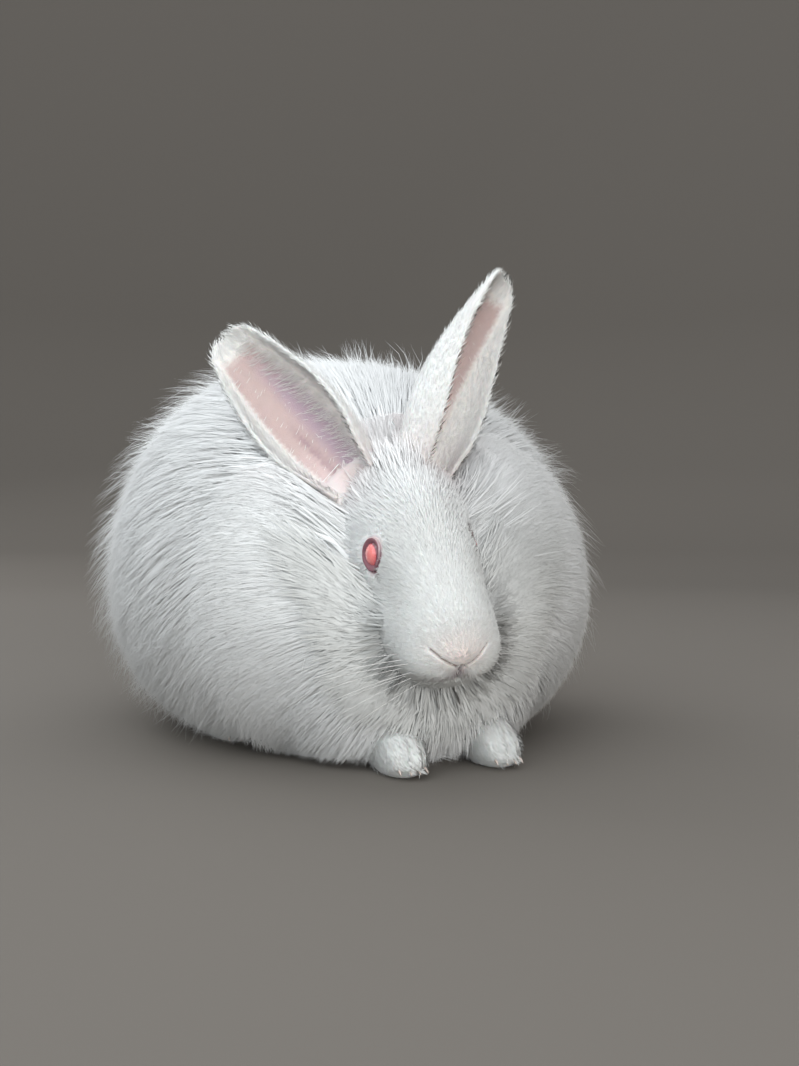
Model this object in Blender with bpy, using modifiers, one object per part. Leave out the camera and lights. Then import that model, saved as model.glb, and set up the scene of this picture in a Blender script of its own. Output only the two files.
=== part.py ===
"""A white angora rabbit at rest, as a still, life-size model.

Metres, +Z up. The rabbit faces -Y, its left side is +X, and it rests on the floor at z = 0.
Each body part is its own solid: head, ears, eyes, neck with its ruff, torso with its wool, tail and four legs.
The wool is made of flat, tapered locks whose roots are sunk in a core half a coat's depth below the outline.
"""

import math

import bmesh
import bpy
import numpy as np
from mathutils import Matrix, Vector

# Gap between two parts that touch
GAP = 0.0003

# Coat outline of the body, measured from BODY_CENTRE to the tips of the wool
BODY_CENTRE = Vector((0.0, 0.006, 0.088))
BODY_HALF_WIDTH = 0.133
BODY_FRONT_REACH = 0.142
BODY_BACK_REACH = 0.158
BODY_RISE = 0.132
BODY_DROP = 0.112
BODY_SQUARENESS = 2.25
COAT_DEPTH = 0.062
CORE_SHARE = 0.5

# The hollow that the wool leaves behind the head and ears
HEAD_HOLLOW_TOWARDS = Vector((-0.006, -0.110, 0.072))
HEAD_HOLLOW_DEPTH = 0.40
HEAD_HOLLOW_SPREAD = math.radians(40)

# Haunches push the outline out on both sides
HAUNCH_TOWARDS = Vector((0.105, 0.055, -0.035))
HAUNCH_SWELL = 0.05
HAUNCH_SPREAD = math.radians(36)

# Head, along its own axis from the nose tip back to the nape
HEAD_LENGTH = 0.125
# distance behind the nose, top, bottom, half width, how much wider the lower half is
HEAD_STATIONS = (
    (0.000, 0.009, -0.016, 0.0150, 0.02),
    (0.008, 0.014, -0.025, 0.0200, 0.06),
    (0.018, 0.019, -0.031, 0.0235, 0.10),
    (0.032, 0.026, -0.034, 0.0265, 0.14),
    (0.048, 0.033, -0.037, 0.0278, 0.16),
    (0.062, 0.037, -0.040, 0.0288, 0.18),
    (0.080, 0.041, -0.042, 0.0325, 0.18),
    (0.100, 0.040, -0.040, 0.0335, 0.12),
    (0.125, 0.030, -0.030, 0.0265, 0.05),
)
NOSE_ROUNDING = 0.014
NAPE_ROUNDING = 0.036
# Swells and hollows on both sides of the head: height, middle on the left side, spread
HEAD_SWELLS = (
    (0.0030, (0.013, 0.006, -0.010), (0.010, 0.012, 0.008)),
    (0.0026, (0.028, 0.060, 0.022), (0.012, 0.016, 0.008)),
    (0.0030, (0.031, 0.076, -0.018), (0.014, 0.024, 0.016)),
    (-0.0022, (0.024, 0.036, 0.006), (0.010, 0.014, 0.012)),
    (-0.0016, (0.000, 0.044, 0.030), (0.010, 0.020, 0.010)),
)
# Grooves of the muzzle: side place and height at each end, bend, radius
NOSTRIL_GROOVE = ((0.0012, -0.0065), (0.0137, 0.0010), 1.3, 0.0010)
MOUTH_GROOVE = ((0.0004, -0.0145), (0.0149, -0.0210), 1.6, 0.0009)
CLEFT_GROOVE = ((0.0000, -0.0060), (0.0000, -0.0150), 1.0, 0.0009)
GROOVE_POINTS = 6
MUZZLE_DEPTH = 0.030
# Mid-point between the eyes, in the head's own frame and in the rabbit's
EYE_MIDDLE = Vector((0.0, 0.062, 0.012))
HEAD_PLACE = Vector((-0.0108, -0.1092, 0.0999))
HEAD_YAW = math.radians(-5.2)
HEAD_PITCH = math.radians(31.6)
HEAD_ROLL = math.radians(-5)

EYE_RADIUS = 0.0088
EYE_HALF_SPACING = 0.0178
LID_LENGTH = 0.0130
LID_HEIGHT = 0.0112
LID_THICKNESS = 0.0012
LID_CLEARANCE = 0.0004
LID_POINTS = 18
EYE_FACING = Vector((0.93, -0.24, 0.28))
EYE_LINE = Vector((0.0, 1.0, 0.12))

# Ears: where each one leaves the head, in the head's frame, and where its tip is, in the rabbit's
EAR_BASES = {"left": Vector((0.0125, 0.096, 0.030)), "right": Vector((-0.0240, 0.096, 0.030))}
EAR_TIPS = {"left": Vector((0.043, -0.0895, 0.236)), "right": Vector((-0.0855, -0.0413, 0.204))}
EAR_OPENING_YAW = {"left": math.radians(38), "right": math.radians(-34)}
EAR_THICKNESS = 0.0024
# share of the length, half width, half angle of the curl in degrees
EAR_STATIONS = (
    (0.00, 0.0135, 132.0),
    (0.12, 0.0165, 124.0),
    (0.28, 0.0200, 112.0),
    (0.48, 0.0208, 98.0),
    (0.68, 0.0186, 84.0),
    (0.86, 0.0142, 66.0),
    (0.96, 0.0095, 48.0),
    (1.00, 0.0050, 36.0),
)
EAR_BACKSET = 0.0180
EAR_BOW = 0.007
EAR_CLEARANCE = 0.0235
# How much longer an ear's clearance is than the gap, at its root and at its tip
EAR_ROOT_GROWTH = 10
EAR_TIP_GROWTH = 3
EAR_ACROSS = 9
EAR_ALONG = 11

# Neck: outline of the ruff and bib round it, out to the tips
NECK_CENTRE = Vector((-0.003, -0.072, 0.070))
NECK_REACH = Vector((0.084, 0.062, 0.100))
# How much less the ruff reaches forward towards its top, so that it stays behind the eyes
RUFF_LEAN = 0.75
RUFF_DEPTH = 0.040

# Locks: numbers on a whole ball, sizes at the root, and how far the root is sunk in the core
BODY_LOCKS = 160
BODY_LOCK_HALF_WIDTH = 0.0195
BODY_LOCK_THICKNESS = 0.0065
BODY_LOCK_LENGTH = 0.074
NECK_LOCKS = 84
NECK_LOCK_HALF_WIDTH = 0.0150
NECK_LOCK_THICKNESS = 0.0060
NECK_LOCK_LENGTH = 0.040
ROOT_SINK = 0.009
LOWEST_TIP = 0.003
LOWEST_ROOT = 0.012
# share along the lock, width there, thickness there
LOCK_SHAPE = ((0.0, 0.74, 1.0), (0.36, 1.0, 0.90), (0.74, 0.58, 0.45))
LOCK_SCATTER = 0.05
LOCK_VARIATION = 0.15
SHOULDER_RISE = 0.62
SHOULDER_LEAN = 0.30
TIP_LEAN = 0.85
TIP_SPREAD = 0.03
# How much wider and longer a lock's clearance is than the gap, so that its thin edges are clear too
SIDE_GROWTH = 3.0
TIP_GROWTH = 5.0
# A root deeper inside another coat than these shares of that coat's reach isn't made
NECK_COVER = 0.86
TAIL_COVER = 1.0
TORSO_COVER = 0.72
CORE_DETAIL = 2
# How much shallower the coat over the core is at the very bottom
FLOOR_THINNING = 0.55

# Feet
FORE_FOOT_LENGTH = 0.046
FORE_FOOT_WIDTH = 0.023
FORE_FOOT_HEIGHT = 0.021
FORE_TOE_PLACE = Vector((0.024, -0.132, 0.0))
HIND_FOOT_LENGTH = 0.098
HIND_FOOT_WIDTH = 0.030
HIND_FOOT_HEIGHT = 0.024
HIND_TOE_PLACE = Vector((0.072, -0.034, 0.0))
SOLE_SINK = 0.003
TOE_COUNT = 4
TOE_GROOVE = 0.004
# Joints of the limbs on the left side, and their radii at the lower and upper end
WRIST_HEIGHT = 0.0115
ELBOW = Vector((0.038, -0.050, 0.056))
FOREARM_RADII = (0.0105, 0.0150)
HEEL_HEIGHT = 0.0140
KNEE = Vector((0.080, -0.012, 0.062))
SHANK_RADII = (0.0130, 0.0220)

TAIL_CENTRE = Vector((0.0, 0.150, 0.062))
TAIL_REACH = Vector((0.036, 0.030, 0.042))
TAIL_DEPTH = 0.026
TAIL_LOCKS = 14
TAIL_LOCK_HALF_WIDTH = 0.0145
TAIL_LOCK_THICKNESS = 0.0060
TAIL_LOCK_LENGTH = 0.032

MATERIALS = {
    "wool": ((0.86, 0.88, 0.89), 0.95),
    "face_fur": ((0.90, 0.90, 0.88), 0.90),
    "ear_skin": ((0.88, 0.72, 0.70), 0.80),
    "eye": ((0.75, 0.12, 0.15), 0.10),
}


def clear_scene():
    for thing in list(bpy.data.objects):
        bpy.data.objects.remove(thing, do_unlink=True)


def material(slot):
    colour, roughness = MATERIALS[slot]
    made = bpy.data.materials.get(slot) or bpy.data.materials.new(slot)
    made.use_nodes = True
    shader = made.node_tree.nodes["Principled BSDF"]
    shader.inputs["Base Color"].default_value = (*colour, 1.0)
    shader.inputs["Roughness"].default_value = roughness
    return made


def smooth_table(rows, column, place):
    """A smooth curve through one column of a table of stations, read at each value of place."""
    table = np.array(rows, float)
    knots, values = table[:, 0], table[:, column]
    slopes = np.gradient(values, knots)
    place = np.clip(place, knots[0], knots[-1])
    i = np.clip(np.searchsorted(knots, place, side="right") - 1, 0, len(knots) - 2)
    step = knots[i + 1] - knots[i]
    t = (place - knots[i]) / step
    return (
        values[i] * (2 * t**3 - 3 * t**2 + 1)
        + slopes[i] * step * (t**3 - 2 * t**2 + t)
        + values[i + 1] * (3 * t**2 - 2 * t**3)
        + slopes[i + 1] * step * (t**3 - t**2)
    )


def object_of(name, mesh, slot, collection):
    made = bpy.data.objects.new(name, mesh)
    collection.objects.link(made)
    mesh.materials.clear()
    mesh.materials.append(material(slot))
    return made


def mesh_of(name, bm):
    bm.normal_update()
    bmesh.ops.recalc_face_normals(bm, faces=bm.faces)
    if bm.calc_volume(signed=True) < 0:
        bmesh.ops.reverse_faces(bm, faces=bm.faces)
    mesh = bpy.data.meshes.new(name)
    bm.to_mesh(mesh)
    bm.free()
    mesh.shade_smooth()
    return mesh


def moved_sphere(name, shape, segments, rings, slot, collection, axis="Z"):
    """A sphere primitive whose every point is carried to shape(unit direction)."""
    bm = bmesh.new()
    bmesh.ops.create_uvsphere(bm, u_segments=segments, v_segments=rings, radius=1.0)
    if axis == "Y":
        bmesh.ops.rotate(bm, verts=bm.verts, matrix=Matrix.Rotation(math.pi / 2, 3, "X"))
    for vert in bm.verts:
        vert.co = shape(vert.co.normalized())
    return object_of(name, mesh_of(name, bm), slot, collection)


def evaluated_mesh(thing):
    bpy.context.view_layer.update()
    graph = bpy.context.evaluated_depsgraph_get()
    return bpy.data.meshes.new_from_object(thing.evaluated_get(graph))


def largest_shell(mesh):
    """Drops every closed surface but the one that holds the most volume, also one that touches it at an edge."""
    bm = bmesh.new()
    bm.from_mesh(mesh)
    bm.verts.ensure_lookup_table()
    unseen = set(bm.faces)
    shells = []
    while unseen:
        stack = [unseen.pop()]
        shell = []
        while stack:
            face = stack.pop()
            shell.append(face)
            for edge in face.edges:
                if len(edge.link_faces) != 2:
                    continue
                for other in edge.link_faces:
                    if other in unseen:
                        unseen.remove(other)
                        stack.append(other)
        shells.append(shell)

    def volume(shell):
        total = 0.0
        for face in shell:
            corners = [vert.co for vert in face.verts]
            for second, third in zip(corners[1:], corners[2:]):
                total += corners[0].dot(second.cross(third))
        return total

    keep = set(max(shells, key=volume))
    bmesh.ops.delete(bm, geom=[face for face in bm.faces if face not in keep], context="FACES")
    bm.to_mesh(mesh)
    bm.free()


def take_boolean(thing, operation, others, solver="EXACT"):
    """Applies one Boolean of thing with every object in the list others, which are then removed."""
    operands = bpy.data.collections.new("operands")
    bpy.context.scene.collection.children.link(operands)
    for other in others:
        operands.objects.link(other)
    modifier = thing.modifiers.new("join", "BOOLEAN")
    modifier.operation = operation
    modifier.operand_type = "COLLECTION"
    modifier.collection = operands
    modifier.solver = solver
    mesh = evaluated_mesh(thing)
    thing.modifiers.clear()
    old = thing.data
    thing.data = mesh
    bpy.data.meshes.remove(old)
    for other in others:
        bpy.data.objects.remove(other, do_unlink=True)
    bpy.data.collections.remove(operands)
    largest_shell(thing.data)


# The head


def head_frame():
    turn = (
        Matrix.Rotation(HEAD_YAW, 4, "Z")
        @ Matrix.Rotation(HEAD_PITCH, 4, "X")
        @ Matrix.Rotation(HEAD_ROLL, 4, "Y")
    )
    return Matrix.Translation(HEAD_PLACE) @ turn @ Matrix.Translation(-EYE_MIDDLE)


def bump(place, centre, spread):
    offset = place - Vector(centre)
    return math.exp(-sum((offset[k] / spread[k]) ** 2 for k in range(3)))


def head_surface(way, grow=0.0):
    """The point of the head's surface that a sphere's unit direction stands for."""
    behind = HEAD_LENGTH * (1 + way.y) / 2
    top, bottom, half_width, low_heavy = (
        float(smooth_table(HEAD_STATIONS, column, np.array([behind]))[0]) for column in (1, 2, 3, 4)
    )
    front = min(behind / NOSE_ROUNDING, 1.0)
    back = min((HEAD_LENGTH - behind) / NAPE_ROUNDING, 1.0)
    close = math.sqrt(front * (2 - front)) * math.sqrt(back * (2 - back))
    round_part = math.hypot(way.x, way.z) or 1.0
    across, upward = way.x / round_part, way.z / round_part
    middle = (top + bottom) / 2
    place = Vector(
        (
            half_width * close * across * (1 - low_heavy * upward),
            behind,
            middle + (top - bottom) / 2 * close * upward,
        )
    )
    outward = Vector((across, way.y * 0.8, upward)).normalized()
    side = 1 if place.x >= 0 else -1
    swell = sum(
        height * bump(place, (side * middle[0], *middle[1:]), spread) for height, middle, spread in HEAD_SWELLS
    )
    return place + outward * (swell + grow)


def make_head(collection, grow=0.0, segments=28, rings=20):
    name = "head" if grow == 0.0 else "head_clearance"
    head = moved_sphere(
        name, lambda way: head_surface(way, grow), segments, rings, "face_fur", collection, axis="Y"
    )
    head.data.transform(head_frame())
    return head


def eye_centre(side):
    return head_frame() @ Vector((side * EYE_HALF_SPACING, EYE_MIDDLE.y, EYE_MIDDLE.z))


def make_eye(side, collection, grow=0.0):
    name = "eye_left" if side > 0 else "eye_right"
    bm = bmesh.new()
    bmesh.ops.create_uvsphere(bm, u_segments=16, v_segments=10, radius=EYE_RADIUS + grow)
    bmesh.ops.translate(bm, verts=bm.verts, vec=eye_centre(side))
    return object_of(name if grow == 0.0 else name + "_clearance", mesh_of(name, bm), "eye", collection)


def tube(name, points, radius, cyclic, slot, collection):
    """A closed mesh tube along a list of points, made from a bevelled curve."""
    curve = bpy.data.curves.new(name, "CURVE")
    curve.dimensions = "3D"
    curve.bevel_depth = radius
    curve.bevel_resolution = 0
    curve.use_fill_caps = not cyclic
    spline = curve.splines.new("POLY")
    spline.points.add(len(points) - 1)
    for point, place in zip(spline.points, points):
        point.co = (*place, 1.0)
    spline.use_cyclic_u = cyclic
    holder = bpy.data.objects.new(name + "_curve", curve)
    collection.objects.link(holder)
    mesh = evaluated_mesh(holder)
    bpy.data.objects.remove(holder, do_unlink=True)
    bm = bmesh.new()
    bm.from_mesh(mesh)
    bmesh.ops.remove_doubles(bm, verts=bm.verts, dist=1e-5)
    bpy.data.meshes.remove(mesh)
    return object_of(name, mesh_of(name, bm), slot, collection)


def face_front(x, z):
    """The point on the front of the muzzle straight ahead of (x, z), in the head's own frame."""
    low, high = 0.0, MUZZLE_DEPTH
    while high - low > 1e-6:
        middle = (low + high) / 2
        if within_head(Vector((x, middle, z))):
            high = middle
        else:
            low = middle
    return Vector((x, high, z))


def within_head(place):
    """Whether a point of the head's own frame lies inside its lofted sections."""
    behind = place.y
    if not 0 < behind < HEAD_LENGTH:
        return False
    top, bottom, half_width, low_heavy = (
        float(smooth_table(HEAD_STATIONS, column, np.array([behind]))[0]) for column in (1, 2, 3, 4)
    )
    front = min(behind / NOSE_ROUNDING, 1.0)
    close = math.sqrt(front * (2 - front))
    upward = (place.z - (top + bottom) / 2) / ((top - bottom) / 2 * close)
    if abs(upward) >= 1:
        return False
    across = place.x / (half_width * close * (1 - low_heavy * upward))
    return across**2 + upward**2 < 1


def groove(name, side, shape, collection):
    """A tube along the muzzle's surface, to be cut out of it."""
    start, end, bend, radius = shape
    points = []
    for t in np.linspace(0, 1, GROOVE_POINTS):
        x = side * (start[0] + (end[0] - start[0]) * t)
        z = start[1] + (end[1] - start[1]) * t**bend
        points.append(head_frame() @ face_front(x, z))
    return tube(f"{name}_{side}", points, radius, False, "face_fur", collection)


def carve_face(head, collection):
    """Cuts nostrils, the cleft lip and the mouth line, and adds the lids."""
    cutters = [groove("cleft", 1, CLEFT_GROOVE, collection)]
    for side in (1, -1):
        cutters.append(groove("nostril", side, NOSTRIL_GROOVE, collection))
        cutters.append(groove("mouth", side, MOUTH_GROOVE, collection))
    take_boolean(head, "DIFFERENCE", cutters)
    lids = [make_lids(side, collection) for side in (1, -1)]
    take_boolean(head, "UNION", lids)
    sockets = [make_eye(side, collection, grow=GAP) for side in (1, -1)]
    take_boolean(head, "DIFFERENCE", sockets)


def lid_points(side, count, radius):
    """An almond ring on the globe of the eye, long along the head, in the rabbit's frame."""
    frame = head_frame()
    centre = Vector((side * EYE_HALF_SPACING, EYE_MIDDLE.y, EYE_MIDDLE.z))
    outward = Vector((side * EYE_FACING.x, *EYE_FACING.yz)).normalized()
    along = (EYE_LINE - outward * EYE_LINE.dot(outward)).normalized()
    upward = outward.cross(along)
    if upward.z < 0:
        upward = -upward
    points = []
    for k in range(count):
        angle = 2 * math.pi * k / count
        a = math.cos(angle) * LID_LENGTH / 2
        b = math.sin(angle) * abs(math.sin(angle)) ** 0.15 * LID_HEIGHT / 2
        rise = math.sqrt(max(0.0, radius**2 - a**2 - b**2))
        points.append(frame @ (centre + outward * rise + along * a + upward * b))
    return points


def make_lids(side, collection):
    points = lid_points(side, LID_POINTS, EYE_RADIUS + LID_CLEARANCE)
    return tube(f"lids_{side}", points, LID_THICKNESS, True, "face_fur", collection)


# The ears


def ear_frame(side_name):
    """The base, tip, axis, opening direction and sideways direction of an ear."""
    base = head_frame() @ EAR_BASES[side_name]
    tip = EAR_TIPS[side_name]
    axis = (tip - base).normalized()
    yaw = EAR_OPENING_YAW[side_name]
    facing = Vector((math.sin(yaw), -math.cos(yaw), 0.0))
    facing = (facing - axis * facing.dot(axis)).normalized()
    return base, tip, axis, facing, axis.cross(facing).normalized()


def ear_sheet(side_name, across_count, along_count, grow=0.0):
    """Rows of points of the ear's middle sheet, from base to tip, each row from one edge to the other."""
    base, tip, axis, facing, sideways = ear_frame(side_name)
    shares = np.linspace(0, 1, along_count) ** 0.92
    if grow:
        longer = grow / (tip - base).length
        shares = np.concatenate(([-EAR_ROOT_GROWTH * longer], shares, [1 + EAR_TIP_GROWTH * longer]))
    rows = []
    for share in shares:
        half_width = float(smooth_table(EAR_STATIONS, 1, np.array([share]))[0])
        curl = math.radians(float(smooth_table(EAR_STATIONS, 2, np.array([share]))[0]))
        radius = half_width / math.sin(min(curl, math.pi / 2))
        curl += 2 * grow / radius
        bow = EAR_BOW * math.sin(math.pi * share) + EAR_BACKSET * (1 - share)
        middle = base.lerp(tip, share) - facing * bow
        row = []
        for k in np.linspace(-1, 1, across_count):
            angle = k * curl
            row.append(
                middle
                + sideways * radius * math.sin(angle)
                + facing * radius * (1 - math.cos(angle)) * 0.9
            )
        rows.append(row)
    return rows


def ear_shell(side_name, collection, grow=0.0):
    rows = ear_sheet(side_name, EAR_ACROSS, EAR_ALONG, grow)
    bm = bmesh.new()
    grid = [[bm.verts.new(place) for place in row] for row in rows]
    for low, high in zip(grid, grid[1:]):
        for k in range(len(low) - 1):
            bm.faces.new((low[k], low[k + 1], high[k + 1], high[k]))
    name = f"ear_{side_name}"
    ear = object_of(name, mesh_of(name, bm), "ear_skin", collection)
    shell = ear.modifiers.new("thickness", "SOLIDIFY")
    shell.thickness = EAR_THICKNESS + 2 * grow
    shell.offset = 0.0
    shell.use_even_offset = False
    mesh = evaluated_mesh(ear)
    ear.modifiers.clear()
    ear.data = mesh
    triangulate(ear)
    return ear


def make_ear(side_name, collection):
    ear = ear_shell(side_name, collection)
    take_boolean(ear, "DIFFERENCE", [make_head(collection, grow=GAP)])
    return ear


def triangulate(thing):
    bm = bmesh.new()
    bm.from_mesh(thing.data)
    bmesh.ops.triangulate(bm, faces=bm.faces, quad_method="FIXED")
    bm.to_mesh(thing.data)
    bm.free()


# The body's coat outline and core


def angle_fade(way, towards, spread):
    return math.exp(-((way.angle(towards) / spread) ** 2))


def coat_reach(way):
    """How far the wool's outline is from BODY_CENTRE in a direction."""
    front_back = BODY_FRONT_REACH if way.y < 0 else BODY_BACK_REACH
    up_down = BODY_RISE if way.z > 0 else BODY_DROP
    n = BODY_SQUARENESS
    level = abs(way.x / BODY_HALF_WIDTH) ** n + abs(way.y / front_back) ** n
    reach = (level + abs(way.z / up_down) ** n) ** (-1 / n)
    reach *= 1 - HEAD_HOLLOW_DEPTH * angle_fade(way, HEAD_HOLLOW_TOWARDS, HEAD_HOLLOW_SPREAD)
    for side in (1, -1):
        towards = Vector((side * HAUNCH_TOWARDS.x, HAUNCH_TOWARDS.y, HAUNCH_TOWARDS.z))
        reach *= 1 + HAUNCH_SWELL * angle_fade(way, towards, HAUNCH_SPREAD)
    return reach


def ball_reach(sizes):
    """A coat outline that is an ellipsoid of the given half sizes."""

    def reach(way):
        return 1 / math.sqrt(sum((way[k] / sizes[k]) ** 2 for k in range(3)))

    return reach


def ruff_reach(way):
    """The ruff's outline: round behind and below, and leaning back from the face above."""
    forward = NECK_REACH.y * (1 - RUFF_LEAN * max(0.0, way.z) if way.y < 0 else 1)
    return 1 / math.sqrt((way.x / NECK_REACH.x) ** 2 + (way.y / forward) ** 2 + (way.z / NECK_REACH.z) ** 2)


def back_and_down(place):
    """The body's wool leans back towards the tail, out to the sides and down them."""
    side = place.x / BODY_HALF_WIDTH
    return Vector((0.30 * side, 0.75, -0.30 - 0.55 * abs(side)))


def away_from_face(place):
    """The ruff leans out and back from the face, and the bib under it hangs down."""
    low = max(0.0, -place.z / NECK_REACH.z)
    high = max(0.0, place.z / NECK_REACH.z)
    return Vector((7.0 * place.x, 0.55 - 0.75 * low, 0.5 * high - 0.9 * low - 0.15))


def out_from_rump(place):
    """The tail's wool stands back and up from its root."""
    return Vector((3.0 * place.x, 0.8, 0.6))


COATS = {
    "torso": {
        "centre": BODY_CENTRE,
        "reach": coat_reach,
        "depth": COAT_DEPTH * CORE_SHARE,
        "lie": back_and_down,
        "locks": BODY_LOCKS,
        "sizes": (BODY_LOCK_HALF_WIDTH, BODY_LOCK_THICKNESS, BODY_LOCK_LENGTH),
        "seed": 11,
    },
    "neck": {
        "centre": NECK_CENTRE,
        "reach": ruff_reach,
        "depth": RUFF_DEPTH * CORE_SHARE,
        "lie": away_from_face,
        "locks": NECK_LOCKS,
        "sizes": (NECK_LOCK_HALF_WIDTH, NECK_LOCK_THICKNESS, NECK_LOCK_LENGTH),
        "seed": 3,
    },
    "tail": {
        "centre": TAIL_CENTRE,
        "reach": ball_reach(TAIL_REACH),
        "depth": TAIL_DEPTH * CORE_SHARE,
        "lie": out_from_rump,
        "locks": TAIL_LOCKS,
        "sizes": (TAIL_LOCK_HALF_WIDTH, TAIL_LOCK_THICKNESS, TAIL_LOCK_LENGTH),
        "seed": 3,
    },
}


def core_place(coat, way, grow=0.0):
    """A point of the dense core, which is shallower where the wool hangs to the floor."""
    below = max(0.0, -way.z)
    reach = coat["reach"](way) - coat["depth"] * (1 - FLOOR_THINNING * below) + grow
    return coat["centre"] + way * reach


def coat_normal(coat, way):
    """The outward direction of a coat's outline near a direction, from nearby points of it."""
    side = way.orthogonal().normalized()
    other = way.cross(side)
    here = way * coat["reach"](way)
    step = 0.02
    first = (way + side * step).normalized()
    second = (way + other * step).normalized()
    a = first * coat["reach"](first) - here
    b = second * coat["reach"](second) - here
    return a.cross(b).normalized()


def inside_coat(name, place, share):
    """Whether a place is within a share of the way from a coat's centre to its tips."""
    offset = place - COATS[name]["centre"]
    return offset.length < share * COATS[name]["reach"](offset.normalized())


def inside_head(place):
    return within_head(head_frame().inverted() @ place)


def near_ear(place):
    """Whether a place is in the cup of an ear or closer behind it than a lock's thickness."""
    for side_name in ("left", "right"):
        base, tip, axis, facing, _ = ear_frame(side_name)
        length = (tip - base).length
        share = (place - base).dot(axis) / length
        if not -0.05 < share < 1.05:
            continue
        half_width = float(smooth_table(EAR_STATIONS, 1, np.array([share]))[0])
        middle = base.lerp(tip, share) + facing * (half_width - EAR_BACKSET * (1 - share) - EAR_BOW)
        if (place - middle).length < EAR_CLEARANCE:
            return True
    return False


def lock_is_free(name, root, shoulder, tip):
    """Whether a lock's root shows and its bend runs clear of the head and the ears."""
    if any(near_ear(place) or inside_head(place) for place in (root, shoulder, shoulder.lerp(tip, 0.5), tip)):
        return False
    if root.z < LOWEST_ROOT:
        return False
    if name == "torso":
        return not (inside_coat("neck", root, NECK_COVER) or inside_coat("tail", root, TAIL_COVER))
    return not inside_coat("torso", root, TORSO_COVER)


def lock_mesh(name, root, shoulder, tip, normal, half_width, thickness, grow=0.0):
    """A flat lock along the bend root, shoulder, tip: rings of four corners, and a point."""
    bm = bmesh.new()
    rings = []
    for share, wide, thick in LOCK_SHAPE:
        a = root.lerp(shoulder, share)
        b = shoulder.lerp(tip, share)
        middle = a.lerp(b, share)
        forward = (b - a).normalized()
        across = forward.cross(normal).normalized()
        upward = across.cross(forward)
        side = across * (half_width * wide + SIDE_GROWTH * grow)
        rise = upward * thickness * thick
        lift = upward * grow
        corners = (
            middle - side - rise * 0.35,
            middle + rise * 0.55 + lift,
            middle + side - rise * 0.35,
            middle - rise * 0.75 - lift,
        )
        rings.append([bm.verts.new(corner) for corner in corners])
    point = bm.verts.new(tip + (tip - shoulder).normalized() * TIP_GROWTH * grow)
    for low, high in zip(rings, rings[1:]):
        for k in range(4):
            n = (k + 1) % 4
            bm.faces.new((low[k], low[n], high[n]))
            bm.faces.new((low[k], high[n], high[k]))
    last = rings[-1]
    for k in range(4):
        bm.faces.new((last[k], last[(k + 1) % 4], point))
    first = rings[0]
    bm.faces.new((first[0], first[2], first[1]))
    bm.faces.new((first[0], first[3], first[2]))
    return mesh_of(name, bm)


def spread_directions(count):
    """Directions spread evenly over a sphere along a spiral."""
    turn = math.pi * (3 - math.sqrt(5))
    for k in range(count):
        z = 1 - 2 * (k + 0.5) / count
        ring = math.sqrt(1 - z * z)
        yield Vector((ring * math.cos(turn * k), ring * math.sin(turn * k), z))


def coat_pieces(name, collection, grow=0.0):
    """The core of a coat and a list of its locks, as separate closed meshes."""
    coat = COATS[name]
    bm = bmesh.new()
    bmesh.ops.create_icosphere(bm, subdivisions=CORE_DETAIL, radius=1.0)
    for vert in bm.verts:
        vert.co = core_place(coat, vert.co.normalized(), grow)
        vert.co.z = max(vert.co.z, -grow)
    core = object_of(name, mesh_of(name, bm), "wool", collection)
    rng = np.random.default_rng(coat["seed"])
    half_width, thickness, length = coat["sizes"]
    locks = []
    for number, way in enumerate(spread_directions(coat["locks"])):
        way = (way + Vector(rng.normal(0, LOCK_SCATTER, 3))).normalized()
        longer, wider, lifted = 1 + rng.uniform(-LOCK_VARIATION, LOCK_VARIATION, 3)
        normal = coat_normal(coat, way)
        lie = coat["lie"](way * coat["reach"](way))
        lie = (lie - normal * lie.dot(normal)).normalized()
        root = core_place(coat, way, grow=-ROOT_SINK)
        aim = (root - coat["centre"] + lie * length * TIP_LEAN * longer).normalized()
        tip = coat["centre"] + aim * coat["reach"](aim) * (1 - TIP_SPREAD + TIP_SPREAD * lifted)
        shoulder = root + normal * (ROOT_SINK + coat["depth"] * SHOULDER_RISE) + lie * length * SHOULDER_LEAN
        tip.z = max(tip.z, LOWEST_TIP)
        shoulder.z = max(shoulder.z, LOWEST_TIP + thickness)
        if not lock_is_free(name, root, shoulder, tip):
            continue
        lock_name = f"{name}_lock_{number}"
        mesh = lock_mesh(lock_name, root, shoulder, tip, normal, half_width * wider, thickness, grow)
        locks.append(object_of(lock_name, mesh, "wool", collection))
    return core, locks


def make_coat(name, collection):
    core, locks = coat_pieces(name, collection)
    take_boolean(core, "UNION", locks)
    return core


# The feet


def foot_place(way, toe, length, width, height, side, grow=0.0):
    """A long foot pointing at -Y: four toes in front, the sole cut flat at the floor."""
    across = way.x * abs(way.x) ** -0.25 if way.x else 0.0
    forward = max(0.0, -way.y)
    lane = (across + 1) / 2 * TOE_COUNT
    groove = 0.0 if grow else (0.5 + 0.5 * math.cos(2 * math.pi * lane)) * forward**2
    x = across * (width / 2 * (1 - 0.10 * max(0.0, way.y)) + grow)
    y = way.y * (length / 2 + grow) + groove * TOE_GROOVE
    z = (way.z + 1) / 2 * (height + 2 * SOLE_SINK) * (1 - 0.25 * forward) * (1 - 0.10 * groove)
    z = z - SOLE_SINK + grow * way.z
    place = Vector((side * toe.x + x, toe.y + length / 2 + y, max(z, -grow)))
    return place


def make_foot(name, side, toe, length, width, height, collection, grow=0.0):
    return moved_sphere(
        name,
        lambda way: foot_place(way, toe, length, width, height, side, grow),
        16,
        10,
        "face_fur",
        collection,
        axis="Y",
    )


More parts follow.
